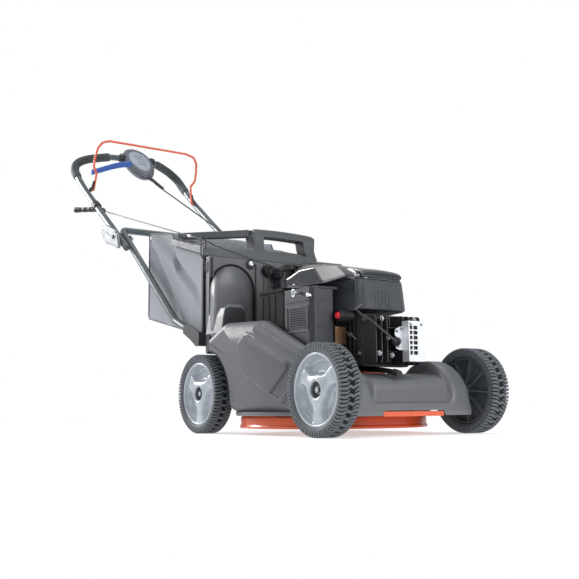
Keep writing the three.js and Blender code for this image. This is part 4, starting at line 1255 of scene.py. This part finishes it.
COVER_CROWN = [(-58, 377), (-59, 384), (-62, 390), (-72, 395), (-90, 400), (-114, 406), (-160, 419),
               (-220, 431), (-280, 440), (-340, 446), (-385, 446), (-430, 435), (-452, 417), (-462, 396)]


def top_cover():
    base = node_box("engine_top_cover")[2][0]
    xs = [-58.5, -60, -63, -68, -76, -88, -104, -125, -150, -180, -215, -250, -285, -320, -350, -380, -405,
          -425, -440, -452, -459, -462]
    widths = [(-58, 52), (-64, 66), (-74, 73.5), (-190, 106), (-250, 123), (-290, 119), (-330, 99),
              (-380, 70), (-420, 44), (-445, 26), (-462, 8)]
    shares = [0, 0.02, 0.05, 0.09, 0.14, 0.2, 0.27, 0.35, 0.44, 0.5]
    shares += [1 - s for s in reversed(shares[:-1])]
    rows = []
    for x in xs:
        crown = value_at(COVER_CROWN, x) - base
        half = value_at(widths, x)
        row = []
        for share in shares:
            across = -1 + 2 * share
            rise = (1 - abs(across) ** 3.2) ** 0.62
            ridge = 3.0 * math.exp(-((abs(across) - 0.42) / 0.09) ** 2) * smoothstep(-x, 110, 170)
            row.append((x, half * across, base + crown * rise + ridge * (1 - smoothstep(-x, 400, 440))))
        rows.append(row)
    form = Form()
    form.grid(rows)
    form.face(rows[0])
    form.face(rows[-1][::-1])
    form.merge()
    form.piece("engine_top_cover", "chassis", "gloss", ["engine_top_cover"], solid=2.5, subdivide=1,
               smooth_angle=60)


def cover_wing():
    """The wing over the air filter box, with a lip under it."""
    wing = Form()
    rows = []
    for y, rise, spread, lift in ((-164, -7, -3, 0), (-161, -2, 0, 0), (-150, 0, 1, 2), (-128, 5, 3, 9),
                                  (-96, 12, 6, 20)):
        outline = [(-238 - spread, 374), (-236 - spread, 391 + rise), (-216, 395 + rise), (-178, 406 + rise),
                   (-118, 403 + rise * 0.6), (-86 + spread, 363 + lift), (-88 + spread, 357 + lift),
                   (-160, 361 + lift * 0.6)]
        rows.append([(x, y, z) for x, z in outline])
    wing.loft(rows)
    wing.piece("top_cover_wing", "chassis", "gloss", bevel=4.5, segments=5, angle=20, smooth_angle=60)
    lip = Form()
    lip.prism([(-236, 372), (-104, 355), (-104, 348), (-112, 348), (-116, 352), (-200, 358), (-236, 362)],
              "y", -160, -104)
    lip.piece("top_cover_lip", "chassis", "black", bevel=1.2)


def cover_brow():
    """The raised panel at the front of the cover."""
    brow = Form()
    rows = []
    for y, rise in ((-66, 0), (-40, 3), (0, 4), (40, 3), (62, 0)):
        rows.append([(-57.5, y, 378), (-56.5, y, 386 + rise), (-66, y * 0.98, 394 + rise),
                     (-96, y * 0.94, 402 + rise), (-150, y * 0.7, 412), (-120, y * 0.8, 378)])
    brow.loft(rows)
    brow.piece("top_cover_brow", "chassis", "gloss", bevel=3.0, segments=4, angle=20, smooth_angle=60)


def cover_vents():
    vents = Form()
    for x, y in ((-346, -52), (-300, -52), (-254, -52), (-346, 52), (-300, 52), (-254, 52)):
        z = value_at(COVER_CROWN, x) - 3.2
        vents.rod((x - 13, y, z), (x + 13, y * 0.94, z - 2.5), 4.2, 16)
    vents.piece("top_cover_vents", "chassis", "black", bevel=0.5)


def fuel_cap():
    """The cap with its gripping ribs, on the filler neck."""
    cap = Form()
    (cx0, cx1), (cy0, cy1) = node_box("fuel_cap")[:2]
    spot = ((cx0 + cx1) / 2, (cy0 + cy1) / 2, 0)
    neck = Form().rod((spot[0], spot[1], 371), (spot[0], spot[1], 402), 12, 32)
    neck.piece("filler_neck", "chassis", "black", bevel=0.5)
    cap.turned([(0.01, 402), (14, 402), (14, 430), (20.5, 430), (20.5, 443), (18, 446), (13, 447),
                (0.01, 447)],
               spot, "Z", 48)
    for turn in turns(20):
        x, y = spot[0] + 20.2 * math.cos(turn), spot[1] + 20.2 * math.sin(turn)
        cap.rod((x, y, 431), (x, y, 443), 1.3, 8)
    cap.piece("fuel_cap", "filler_cap", "black", ["fuel_cap"], bevel=0.5)


def muffler_guard():
    (x0, x1), (y0, y1), (z0, z1) = node_box("muffler_guard")
    form = Form()
    form.block((x0, x1), (y0, y1), (z0, z1))
    cutters = [Form().block((x0 - 5, x1 - 1.6), (y0 + 1.6, y1 - 1.6), (z0 + 1.6, z1 - 1.6))]
    for i in range(6):
        z = z0 + 16 + i * 12
        cutters.append(Form().block((x1 - 5, x1 + 5), (y0 + 3.5, y0 + 12), (z, z + 8.5)))
        cutters.append(Form().block((x1 - 5, x1 + 5), (y0 + 15, y0 + 28), (z, z + 8.5)))
    form.carve(*cutters)
    form.piece("muffler_guard", "chassis", "guard", ["muffler_guard"], bevel=0.7, angle=40)
    louvres = Form()
    for i in range(6):
        z = z0 + 16 + i * 12
        louvres.prism(rounded_box(y0 + 32, y1 - 5, z + 1, z + 7, 1.5, 3), "x", x1 - 1, x1 + 1.6)
    louvres.piece("guard_louvres", "chassis", "guard", bevel=0.8)


def exhaust_flange():
    flange = Form()
    plate = [(-14, 204), (0, 199), (14, 200), (14, 257), (2, 255), (-13, 249), (-16, 236), (-8, 228),
             (-8, 214)]
    flange.prism(round_outline([(a, b, 3) for a, b in plate], 3), "x", -1.6, 0.4)
    flange.piece("exhaust_flange", "chassis", "guard", bevel=0.5)


def exhaust_screws():
    (_, x1), (y0, y1), (_, z1) = node_box("muffler_guard")
    screws = Form()
    for y, z in ((-9, 244), (-7, 208), (4, 250)):
        screw(screws, (0.4, y, z), (1, 0, 0), 3.2)
    for y, z in ((y0 + 6, z1 - 8), (y1 - 8, z1 - 8)):
        screw(screws, (x1, y, z), (1, 0, 0), 2.6)
    screws.piece("exhaust_screws", "chassis", "plain", bevel=0.3)


def muffler():
    body = Form()
    (mx0, mx1), (my0, my1), (mz0, mz1) = node_box("muffler")
    body.prism(rounded_box(my0, my1, mz0, mz1, 8), "x", mx0, mx1)
    body.piece("muffler", "chassis", "black_steel", ["muffler"], bevel=2.0, segments=3)


def spark_plug():
    boot = Form()
    boot.tube(rounded([(-29, -7, 224), (-2, -12, 223), (11, -17, 219), (15, -24, 216)], 10, 5),
              lambda t: mix(7.5, 9.5, smoothstep(t, 0.2, 0.6)), 24)
    boot.piece("spark_plug_boot", "chassis", "cable", ["spark_plug_boot"], bevel=1.5, segments=3, angle=50)
    lead = smooth([(14, -24, 217), (11, -40, 229), (4, -60, 246), (-4, -82, 264), (-34, -88, 282),
                   (-60, -84, 297)], 8)
    Form().tube(lead, 3.2, 14).piece("ignition_lead", "chassis", "cable", ["ignition_lead"])


def oil_drain_tube():
    drain = smooth([(-158, -20, 157), (-100, -24, 157), (-30, -32, 153), (30, -38, 144)], 8)
    form = Form()
    form.tube(drain, 6.2, 20)
    form.rod((24, -37.5, 145), (40, -39, 141), 8.4, 28)
    form.rod((19, -36.5, 146), (25, -37.5, 144.8), 9.2, 6)
    form.piece("oil_drain_tube", "chassis", "black", ["oil_drain_tube"], bevel=0.8)


def air_filter_box():
    (x0, x1), (y0, y1), (z0, z1) = node_box("air_filter_box")
    form = Form()
    plan = [(x0, y0, 5), (x1 - 9, y0, 3), (x1, y0 + 9, 6), (x1, y1, 2), (x0, y1, 2)]
    form.prism(round_outline(plan, 5), "z", z0, z1)
    grooves = []
    for i in range(8):
        z = z1 - 52 - i * 5.6
        grooves.append(Form().block((x0 + 26, x1 - 24), (y0 - 5, y0 + 2.5), (z, z + 2.4)))
    for z in (z1 - 34, z1 - 96):
        grooves.append(Form().block((x0 - 5, x1 + 5), (y0 - 5, y0 + 1.2), (z, z + 1.6)))
        grooves.append(Form().block((x1 - 1.2, x1 + 5), (y0 - 5, y1 + 5), (z, z + 1.6)))
    form.carve(*grooves)
    form.piece("air_filter_box", "chassis", "box", ["air_filter_box"], bevel=0.8, angle=40)
    frame_piece = Form()
    outline = rounded_box(x0 + 16, x1 - 14, z1 - 104, z1 - 44, 3)
    ring = [(a, y0 - 0.6, b) for a, b in outline]
    frame_piece.tube([Vector(p) for p in ring] + [Vector(ring[0])], 0.8, 8)
    frame_piece.piece("air_box_frame", "chassis", "box")


def battery():
    (bx0, bx1), (by0, by1), (bz0, bz1) = node_box("battery")
    form = Form()
    form.prism(rounded_box(bx0 + 2, bx1 - 2, by0 + 2, by1 - 2, 4), "z", bz0, bz1 - 9)
    form.prism(rounded_box(bx0, bx1, by0, by1, 4), "z", bz1 - 9, bz1)
    for x in (bx0 + 16, bx0 + 44, bx0 + 72):
        form.block((x, x + 3), (by0 + 0.6, by0 + 4), (bz0 + 8, bz1 - 14))
    form.piece("battery", "chassis", "matte", ["battery"], bevel=1.2, angle=40)


def ignition_key():
    (kx0, kx1), (ky0, ky1), (kz0, kz1) = node_box("ignition_key")
    kx, kz = (kx0 + kx1) / 2, (kz0 + kz1) / 2
    form = Form()
    form.rod((kx, ky1, kz), (kx, ky0 + 4, kz), 4, 20)
    ring = []
    for t in turns(28) + [2 * math.pi]:
        ring.append(Vector((kx + 1.2 * math.cos(t), ky0 + 2, kz - 2))
                    + Vector((4.2 * math.cos(t), 0, 8.6 * math.sin(t))))
    form.tube(ring, 1.9, 12)
    form.piece("ignition_key", "key", "bright", ["ignition_key"], bevel=0.3)


def choke_button():
    form = Form()
    form.turned([(0.01, -183), (5.5, -183), (5.5, -190), (4.4, -192), (0.01, -192.8)], (-108, 0, 330), "Y",
                28)
    form.piece("choke_button", "chassis", "bright", bevel=0.4)


def primer():
    (px0, px1), (py0, py1), (pz0, pz1) = node_box("primer_housing")
    px, pz = (px0 + px1) / 2, (pz0 + pz1) / 2
    form = Form()
    form.turned([(10.2, py1), (14, py1), (14, py0 + 2), (12.5, py0), (11, py0), (10.2, py0 + 2)],
                (px, 0, pz), "Y", 44)
    form.turned([(0.01, py1 - 2), (10.4, py1 - 2), (10.4, py1 - 9), (0.01, py1 - 9)], (px, 0, pz), "Y", 44)
    form.rod((px, -84, pz), (px, -72, pz), 13, 30)
    form.piece("primer_housing", "chassis", "black", ["primer_housing"], bevel=0.5)
    low, high = node_box("primer_bulb")[1]
    form = Form()
    form.turned([(0.01, high), (9.3, high), (9.5, low + 9), (8.8, low + 5), (6.8, low + 2), (3.4, low + 0.4),
                 (0.01, low)], (px, 0, pz), "Y", 40)
    form.piece("primer_bulb", "primer", "red", ["primer_bulb"], subdivide=1)


def carburettor():
    form = Form()
    form.prism(round_outline([(-150, 214, 5), (-104, 214, 5), (-104, 262, 8), (-150, 262, 8)]), "y", -112,
               -78)
    form.turned([(0.01, 196), (11, 196), (15, 200), (15, 216), (0.01, 216)], (-127, -95, 0), "Z", 36)
    form.rod((-127, -112, 238), (-127, -118, 238), 11, 30)
    form.rod((-127, -100, 238), (-127, -76, 238), 12.4, 30)
    form.piece("carburettor", "chassis", "brass", ["carburettor"], bevel=1.2)
    links = Form()
    links.tube(smooth([(-100, -90, 288), (-80, -92, 296), (-50, -94, 296), (-28, -90, 306)], 8), 2.0, 10)
    links.tube(smooth([(-104, -84, 250), (-80, -86, 240), (-60, -84, 226)], 8), 1.4, 10)
    links.piece("control_links", "chassis", "plain")


def starter_pan():
    form = Form()
    form.turned([(0.01, 284.5), (40, 284.5), (58, 288), (62, 298), (0.01, 298)], (DECK_X, 0, 0), "Z", 48)
    form.piece("starter_pan", "chassis", "black", bevel=0.6)


# ---- catcher: a hard lid with its carrying handle, and the fabric bag in its frame ----
LID_FRONT, LID_BACK = -594.0, -800.0
LID_RISE = 0.285
HANDLE_FRONT = LID_FRONT - 4


def lid_height(x):
    return 521 + (LID_FRONT - x) * LID_RISE


def bag_lid():
    low, high = node_box("bag_lid")[1]
    back, drop = LID_BACK, 24
    form = Form()
    rows = []
    for y, pull in ((low, 5), (low + 2, 1.5), (low + 7, 0), (high - 7, 0), (high - 2, 1.5), (high, 5)):
        rows.append([
            (LID_FRONT - pull, y, 495 + pull * 0.4), (LID_FRONT - pull, y, 518.5 - pull * 0.4),
            (LID_FRONT - 2.5 - pull, y, lid_height(LID_FRONT) - pull * 0.4),
            (LID_FRONT - 52, y, lid_height(LID_FRONT - 52) - pull * 0.4),
            (LID_FRONT - 58, y, lid_height(LID_FRONT - 58) - 3 - pull * 0.4),
            (back + 12, y, lid_height(back + 12) - 3 - pull * 0.4), (back + pull, y, lid_height(back) - 8),
            (back + pull, y, lid_height(back) - drop), (LID_FRONT - 24, y, lid_height(LID_FRONT - 24) - drop),
            (LID_FRONT - 14, y, 497), (LID_FRONT - 14, y, 495),
        ])
    form.loft(rows)
    form.piece("bag_lid", "catcher", "lid", ["bag_lid"], bevel=1.2, angle=25)


def lid_handle():
    """The carrying handle: a beam over two posts at the front."""
    def top(y):
        return 592 - 6 * ((y - 60) / 140) ** 2

    front, deep = HANDLE_FRONT, 42
    beam = Form()
    section = [(0, -23), (0, -3), (-3, 0), (-deep + 3, 0), (-deep, -3), (-deep, -23)]
    line = [-26, -8, 20, 50, 80, 110, 140, 165, 180, 188, 192]
    rows = []
    for y in line:
        sink = 4 * smoothstep(y, 176, 192)
        rows.append([(front + a, y, top(y) + b - sink) for a, b in section])
    beam.loft(rows)
    foot = 512

    def post(inner_low, inner_high, outer_low, outer_high, up):
        """A post from the lid to the beam, given its two edges at the foot and at the top."""
        rows = []
        for z, y0, y1, grow in ((foot, inner_low, outer_low, 3), (foot + 10, inner_low + 1, outer_low, 0.6),
                                (up - 30, inner_high, outer_high, 0.4),
                                (up, inner_high - 5, outer_high, 1.2)):
            rows.append([(front + grow, y0 - grow, z), (front + grow, y1 + grow, z),
                         (front - deep - grow, y1 + grow, z), (front - deep - grow, y0 - grow, z)])
        beam.loft(rows)

    post(-28, -27, 8, 6, 572)
    post(160, 153, 196, 190, 572)
    beam.piece("lid_handle", "catcher", "lid", bevel=2.4, segments=3, angle=35, smooth_angle=40)


def lid_arm():
    """The arm from the handle's right end back to the lid's rear right corner."""
    arm = Form()
    start, end = Vector((HANDLE_FRONT - 32, -24, 579)), Vector((LID_BACK + 16, -182, 578))
    along = (end - start).normalized()
    across = along.cross(Vector((0, 0, 1))).normalized()
    rows = []
    for t, half, tall in ((0, 11, 22), (0.5, 10.5, 21), (0.93, 10, 18), (1, 9, 12)):
        spot = start.lerp(end, t)
        rows.append([spot + across * half + Vector((0, 0, 12)), spot - across * half + Vector((0, 0, 12)),
                     spot - across * half + Vector((0, 0, 12 - tall)),
                     spot + across * half + Vector((0, 0, 12 - tall))])
    arm.loft(rows)
    arm.piece("lid_arm", "catcher", "lid", bevel=2.4, segments=3, angle=35, smooth_angle=40)


def lid_ribs():
    """A step stands on the lid's left front corner, and low ribs run down its slope."""
    step = Form()
    step.prism([(LID_FRONT - 6, 515), (LID_FRONT - 6, 526), (LID_FRONT - 60, 541), (LID_FRONT - 60, 530)],
               "y", -14, 150)
    for y in (-150, -104, -58, 30, 76, 122):
        rows = [(LID_FRONT - 62, y), (LID_BACK + 20, y)]
        step.loft([[(x, y0 + w, lid_height(x) + h) for w, h in ((-4, -4), (-3, -0.8), (3, -0.8), (4, -4))]
                   for x, y0 in rows])
    step.piece("lid_ribs", "catcher", "lid", bevel=1.2)


def bag_frame():
    """The upright bars at the bag's mouth and the bar under it."""
    low, high = node_box("bag_lid")[1]
    frame_piece = Form()
    for y in (low + 6, high - 6):
        frame_piece.prism(rounded_box(LID_FRONT - 12, LID_FRONT - 2, y - 6, y + 6, 2, 3), "z", 266, 495)
    frame_piece.tube(rounded([(LID_FRONT - 8, low + 6, 276), (LID_FRONT - 8, low + 6, 266),
                              (LID_FRONT - 8, high - 6, 266), (LID_FRONT - 8, high - 6, 276)], 6, 4), 4.5, 16)
    frame_piece.piece("bag_frame", "catcher", "black", bevel=1.0)


BAG_HALF, BAG_FRONT, BAG_REAR = 185.0, -606.0, -986.0
BAG_STATIONS = 44


def bag_section(share):
    """The bag's cross-section at a share of its length: its place, floor, roof and half-width."""
    x = mix(BAG_FRONT, BAG_REAR, share)
    floor = mix(262, 345, share)
    line = lid_height(max(x, LID_BACK)) - 26
    roof = mix(line, 597 + 0.16 * (-820 - x), smoothstep(-x, 798, 824))
    return x, floor, roof, mix(BAG_HALF, 178, share)


def bag_fold(side, along, up):
    """How far the folds pull a side in, in millimetres, at shares of its length and height."""
    def crease(distance, width, depth):
        return depth * math.exp(-(distance / width) ** 2)

    # Two long folds run from the upper rear corner to the frame, a ridge stands beside the first, and short
    # ones gather along the frame.
    first = crease(up - (1.02 - 0.62 * (1 - along) ** 1.25), 0.06, 13.0) * smoothstep(along, 0.02, 0.25)
    second = crease(up - (0.95 - 1.5 * (1 - along) ** 0.9), 0.05, 9.0) * smoothstep(along, 0.25, 0.5)
    third = -crease(up - (0.90 - 0.62 * (1 - along) ** 1.25), 0.05, 6.0) * smoothstep(along, 0.05, 0.2)
    gathers = 1.6 * math.sin(up * 46 + side) * math.exp(-along * 9) * (1 - up * 0.4)
    slack = 9.0 * math.sin(math.pi * min(along, 1)) * math.sin(math.pi * min(max(up, 0), 1))
    return first + second + third + gathers + slack


def bag_seams():
    """Piped seams along the bag's long edges and round its rear panel."""
    seams = Form()
    for side in (1, -1):
        for high in (False, True):
            path = []
            for i in range(BAG_STATIONS + 1):
                x, floor, roof, half = bag_section(i / BAG_STATIONS)
                path.append((x, side * (half - 0.5), roof - 1 if high else floor + 4))
            seams.tube(path, 2.0, 8)
    x, floor, roof, half = bag_section(1.0)
    ring = rounded([(x - 1, 0, roof), (x - 1, half, roof - 2), (x - 1, half, floor + 5),
                    (x - 1, -half, floor + 5), (x - 1, -half, roof - 2), (x - 1, 0, roof)], 10, 5)
    seams.tube(ring, 2.2, 8)
    seams.piece("bag_seams", "catcher", "fabric_dark", smooth_angle=60)


def bag_hem():
    """The dark band where the fabric is sewn round the frame's two sides."""
    hem = Form()
    for side in (1, -1):
        rows = []
        for k in range(25):
            up = k / 24
            x, floor, roof, half = bag_section(0.0)
            z = mix(floor + 5, roof - 3, up)
            rows.append([(x + 1, side * (half + 2.2), z), (x - 22, side * (half + 2.0), z),
                         (x - 23, side * (half - 4), z), (x, side * (half - 4), z)])
        hem.loft(rows)
    hem.piece("bag_hem", "catcher", "fabric_dark", smooth_angle=60)


def grass_bag():
    stations, legs, spans = BAG_STATIONS, 26, 30
    rows = []
    for i in range(stations + 1):
        share = i / stations
        x, floor, roof, half = bag_section(share)
        row = []
        crown = 5.0 * smoothstep(-x, 820, 880) * (1 - smoothstep(share, 0.93, 1.0))
        for k in range(spans):
            across = -1 + 2 * k / spans
            ripple = 1.2 * math.sin(across * 17 + share * 9) * math.sin(math.pi * share)
            row.append((x, half * across, floor + 3 + ripple + 3.0 * smoothstep(abs(across), 0.9, 1.0)))
        for side in (1, -1):
            for k in range(legs):
                up = k / legs if side > 0 else 1 - k / legs
                inward = bag_fold(side, share, up) * (1 - smoothstep(up, 0.93, 1.0))
                inward *= smoothstep(up, 0.0, 0.06)
                row.append((x, side * (half - inward), mix(floor + 6, roof - 2, up)))
            if side > 0:
                for k in range(spans):
                    across = 1 - 2 * k / spans
                    ripple = 1.0 * math.sin(across * 13 + share * 21)
                    swell = (crown + ripple * (crown > 1)) * (1 - across ** 4)
                    row.append((x, half * across, roof + swell - 3.0 * smoothstep(abs(across), 0.9, 1.0)))
        rows.append(row)
    form = Form()
    form.grid(rows, close_columns=True)
    # The rear panel closes the bag and bulges back.
    last = [Vector(p) for p in rows[-1]]
    middle = sum(last, Vector()) / len(last)
    rings = []
    for i in range(20):
        share = 1 - 0.95 * i / 19
        bulge = 10.0 * (1 - share ** 2)
        rings.append([middle.lerp(p, share) + Vector((-bulge, 0, 0)) for p in last])
    form.grid(rings, close_columns=True)
    form.face(rings[-1])
    form.merge(0.05)
    area = sum(face.calc_area() for face in form.bm.faces) * MM * MM
    bag = form.piece("grass_bag", "catcher", "fabric", ["grass_bag"], solid=1.2, smooth_angle=60)
    bag_seams()
    bag_hem()


# ---- controls on the handle ----
POD_REACH, POD_WIDE = 98, 58


def console():
    """A flattened oval pod on the crossbar, with a paler oval panel let into its upper face."""
    middle = Vector((-1462, 0, 985))
    (low_x, _, low_z), (high_x, _, high_z) = UPPER_HALF[0], UPPER_HALF[-1]
    slope = math.atan2(high_z - low_z, high_x - low_x)
    along = Vector((math.cos(slope), 0, math.sin(slope)))
    across = Vector((0, 1, 0))
    up = Vector((along.z, 0, -along.x))

    def spot(a, b, c):
        return middle + along * a + across * b + up * c

    def shell(levels):
        rows = []
        for share, height in levels:
            row = []
            for angle in turns(56):
                stretch = 1 + 0.10 * math.cos(angle)
                row.append(spot(POD_REACH * share * math.cos(angle),
                                POD_WIDE * share * stretch * math.sin(angle), height))
            rows.append(row)
        return rows

    form = Form()
    body = [(0.30, -24), (0.62, -22), (0.82, -16), (0.94, -8), (0.99, -1), (1.0, 2), (0.97, 4), (0.97, 6),
            (0.985, 7.5), (0.96, 13), (0.88, 18), (0.78, 20.6), (0.74, 21), (0.72, 19.2), (0.71, 17.5)]
    form.loft(shell(body))
    form.piece("console", "folding_handle", "control", ["console"], smooth_angle=50)
    panel = Form()
    panel.loft(shell([(0.705, 15.5), (0.705, 18.2), (0.69, 19.4), (0.66, 19.8), (0.3, 21.4), (0.06, 21.8)]))
    panel.piece("console_panel", "folding_handle", "inset", smooth_angle=60)
    marks = Form()
    for a in (-26, -10, 8, 26):
        marks.loft([[spot(a + da, b, 21.4 + h) for da, h in ((-2, -1.5), (-1.4, 0.8), (1.4, 0.8), (2, -1.5))]
                    for b in (-15, 15)])
    marks.piece("console_marks", "folding_handle", "control", bevel=0.4)
    collar = Form()
    for side in (-1, 1):
        collar.turned([(12, side * 54), (17, side * 54), (17.5, side * 64), (15.5, side * 70),
                       (12, side * 70)],
                      (-1478, 0, 1007.5), "Y", 32)
    collar.piece("console_collars", "folding_handle", "black", bevel=0.6)
    boot = Form()
    start = Vector((-1384, 10, 920))
    boot.tube([start, start + Vector((8, 6, -9)), start + Vector((24, 16, -22)),
               start + Vector((46, 34, -46))],
              lambda t: mix(8.0, 4.2, smoothstep(t, 0.0, 0.8)), 20)
    boot.piece("cable_boot", "folding_handle", "cable")


def drive_lever():
    """A blue blade that curves under the right grip."""
    line = smooth([(-1428, -46, 974), (-1446, -76, 972), (-1464, -112, 962), (-1478, -146, 949),
                   (-1486, -178, 937)], 8)

    def lens(angle):
        return math.cos(angle) * (0.55 + 0.45 * abs(math.cos(angle)))

    form = Form()
    rows = []
    for i, point in enumerate(line):
        t = i / (len(line) - 1)
        tall = mix(11.5, 10.5, t)
        deep = mix(8.0, 6.5, t)
        rows.append([point + Vector((deep * lens(a), 0, tall * math.sin(a))) for a in turns(20)])
    form.loft(rows)
    form.piece("drive_lever", "drive_lever_body", "blue", ["drive_lever"], bevel=1.4, segments=3, angle=50,
               smooth_angle=50)


ROPE_GUIDE, ROPE_HOOK = Vector((-1318, -203, 758)), Vector((-585, -206, 537))


def rope_spot(t):
    return ROPE_GUIDE.lerp(ROPE_HOOK, t)


def hoop(centre, one, two, radius, count):
    """A circle in the plane of two directions."""
    return [centre + one * radius * math.cos(a) + two * radius * math.sin(a) for a in turns(count)]


def starter_handle():
    x, y, z = rope_spot(-0.032)
    form = Form()
    form.tube([(x, y, z), (x - 8, y - 1, z + 3), (x - 16, y - 2, z + 6)], lambda t: mix(6.5, 8, t), 20)
    tip = Vector((x - 126, y - 42, z + 18))
    root = Vector((x - 14, y - 1, z + 4))

    def thickness(t):
        waves = 0.7 * math.sin(t * 26) * smoothstep(t, 0.2, 0.3) * (1 - smoothstep(t, 0.8, 0.9))
        return (8.6 + 1.6 * smoothstep(t, 0.78, 0.92) - 2.2 * smoothstep(t, 0.96, 1.0)) + waves

    form.tube([root.lerp(tip, i / 40) for i in range(41)], thickness, 24)
    form.piece("starter_handle", "starter", "black", ["starter_handle"], smooth_angle=50)


def rope_guide():
    """A ring that the rope comes through, on a clamp round the handle's right leg."""
    gx = ROPE_GUIDE.x
    guide = Form()
    ring = rope_spot(0.012) - rope_spot(-0.008)
    rows = []
    side = ring.cross(Vector((0, 0, 1))).normalized()
    over = side.cross(ring.normalized())
    for radius, t in ((4.5, -0.008), (9.5, -0.008), (10.4, -0.004), (10.4, 0.008), (9.5, 0.012),
                      (4.5, 0.012)):
        rows.append(hoop(rope_spot(t), side, over, radius, 32))
    guide.grid(rows, close_rows=True, close_columns=True)
    foot, knee = (Vector(p) for p in UPPER_HALF[:2])
    direction = (knee - foot).normalized()
    middle = Vector((gx - 2, -LEG_Y, mix(foot.z, knee.z, (foot.x - gx + 2) / (foot.x - knee.x))))
    lateral = Vector((0, 1, 0))
    upward = direction.cross(lateral)
    rows = []
    for radius, shift in ((TUBE_RADIUS + 0.3, -15), (TUBE_RADIUS + 3.4, -15), (TUBE_RADIUS + 4.2, -12),
                          (TUBE_RADIUS + 4.2, 12), (TUBE_RADIUS + 3.4, 15), (TUBE_RADIUS + 0.3, 15)):
        rows.append(hoop(middle + direction * shift, lateral, upward, radius, 36))
    guide.grid(rows, close_rows=True, close_columns=True)
    guide.rod(rope_spot(0.002) + Vector((0, -6, 2)), middle + Vector((0, 10, 0)), 5.5, 16)
    guide.piece("rope_guide", "folding_handle", "black", ["rope_guide"], smooth_angle=40)


def rope_hook():
    """A wire hook on the bulkhead's side that holds the rope clear of the lid."""
    wire = [(-585, -196, 446), (-585, -199, 452), (-585, -199, 472), (-585, -214, 496), (-585, -213, 540),
            (-585, -209, 548), (-585, -202, 548), (-585, -199, 541), (-585, -200, 508)]
    Form().tube(rounded(wire, 7, 5), 2.2, 14).piece("rope_hook", "chassis", "black_steel", ["rope_hook"])


def starter_rope():
    rope = smooth([rope_spot(0.019), rope_spot(0.25), rope_spot(0.5), rope_spot(0.75), rope_spot(0.995),
                   Vector((-560, -180, 519)), Vector((-520, -136, 494)), Vector((-484, -92, 472)),
                   Vector((-452, -50, 452)), Vector((-424, -20, 424))], 12)
    cord = Form()
    cord.tube(rope, 1.7, 12)
    cord.piece("starter_rope", "folding_handle", "cable", ["starter_rope"],
               across=("chassis", rope_spot(0.02), rope_spot(0.3)))


def rope_ends():
    """The ferrule beside the hook, and the eyelet in the engine's cover."""
    ferrule = Form()
    a, b = rope_spot(0.882), rope_spot(0.898)
    ferrule.rod(a, b, 4.4, 20)
    ferrule.piece("rope_ferrule", "chassis", "bright", bevel=1.0, segments=3)
    eyelet = Form()
    eyelet.rod((-424, -20, 422), (-433, -29, 434), 8.0, 24, 4.5)
    eyelet.piece("rope_eyelet", "chassis", "black", bevel=0.8)


def drive_cable():
    route = [(-1372, 14, 908), (-1352, 30, 884), (-1290, 92, 818), (-1215, 160, 742), (-1160, 190, 696),
             (-1108, 196, 650), (-1000, 200, 549), (-880, 200, 446), (-790, 200, 368), (-700, 200, 320),
             (-640, 201, 314), (-580.4, 203, 314)]
    path = smooth(route, 10)
    form = Form()
    form.tube(path, 2.4, 12)
    form.piece("drive_cable", "folding_handle", "cable", ["drive_cable"],
               across=("chassis", (-1160, 190, 696), (-1060, 198, 605)))
    clips = Form()
    for x, z in ((-940, 497), (-800, 376)):
        clips.rod((x - 6, 200, z + 5), (x + 6, 200, z - 5), 5.2, 18)
    clips.piece("cable_clips", "chassis", "black", bevel=1.0)


def fold_joint():
    """Bolts and washers through the two tubes where the handle folds."""
    for side, facing in (("left", 1), ("right", -1)):
        form = Form()
        inner = facing * (LOWER_Y - TUBE_RADIUS)
        form.rod((FOLD_X, inner, FOLD_Z), (FOLD_X, inner - facing * 4, FOLD_Z), 11, 28)
        screw(form, (FOLD_X, inner - facing * 4, FOLD_Z), (0, -facing, 0), 6.5)
        form.piece(f"fold_bolt_{side}", "chassis", "plain", bevel=0.5)
        cap = Form()
        outer = facing * (LEG_Y + TUBE_RADIUS + 13.4)
        cap.rod((FOLD_X, outer, FOLD_Z), (FOLD_X, outer + facing * 3.4, FOLD_Z), 8, 28, 6)
        cap.piece(f"clamp_cap_{side}", f"clamp_{side}", "black", bevel=0.8)


camera_and_stage()
wheels()
upper_handle()
lower_handle()
bail()
clamp_levers()
side_duct()
duct_channel()
duct_tower()
duct_hood()
tower_groove_shade()
bulkhead()
bulkhead_ribs()
bulkhead_fittings()
left_cover()
deck_shell()
deck_cover()
deck_skirt()
crankcase()
cylinder_head()
engine_bolts()
shroud()
shroud_plates()
shroud_slats()
top_cover()
cover_wing()
cover_brow()
cover_vents()
fuel_cap()
muffler_guard()
exhaust_flange()
exhaust_screws()
muffler()
spark_plug()
oil_drain_tube()
air_filter_box()
battery()
ignition_key()
choke_button()
primer()
carburettor()
starter_pan()
bag_lid()
lid_handle()
lid_arm()
lid_ribs()
bag_frame()
grass_bag()
console()
drive_lever()
starter_handle()
rope_guide()
rope_hook()
starter_rope()
rope_ends()
drive_cable()
fold_joint()
carried_nodes()
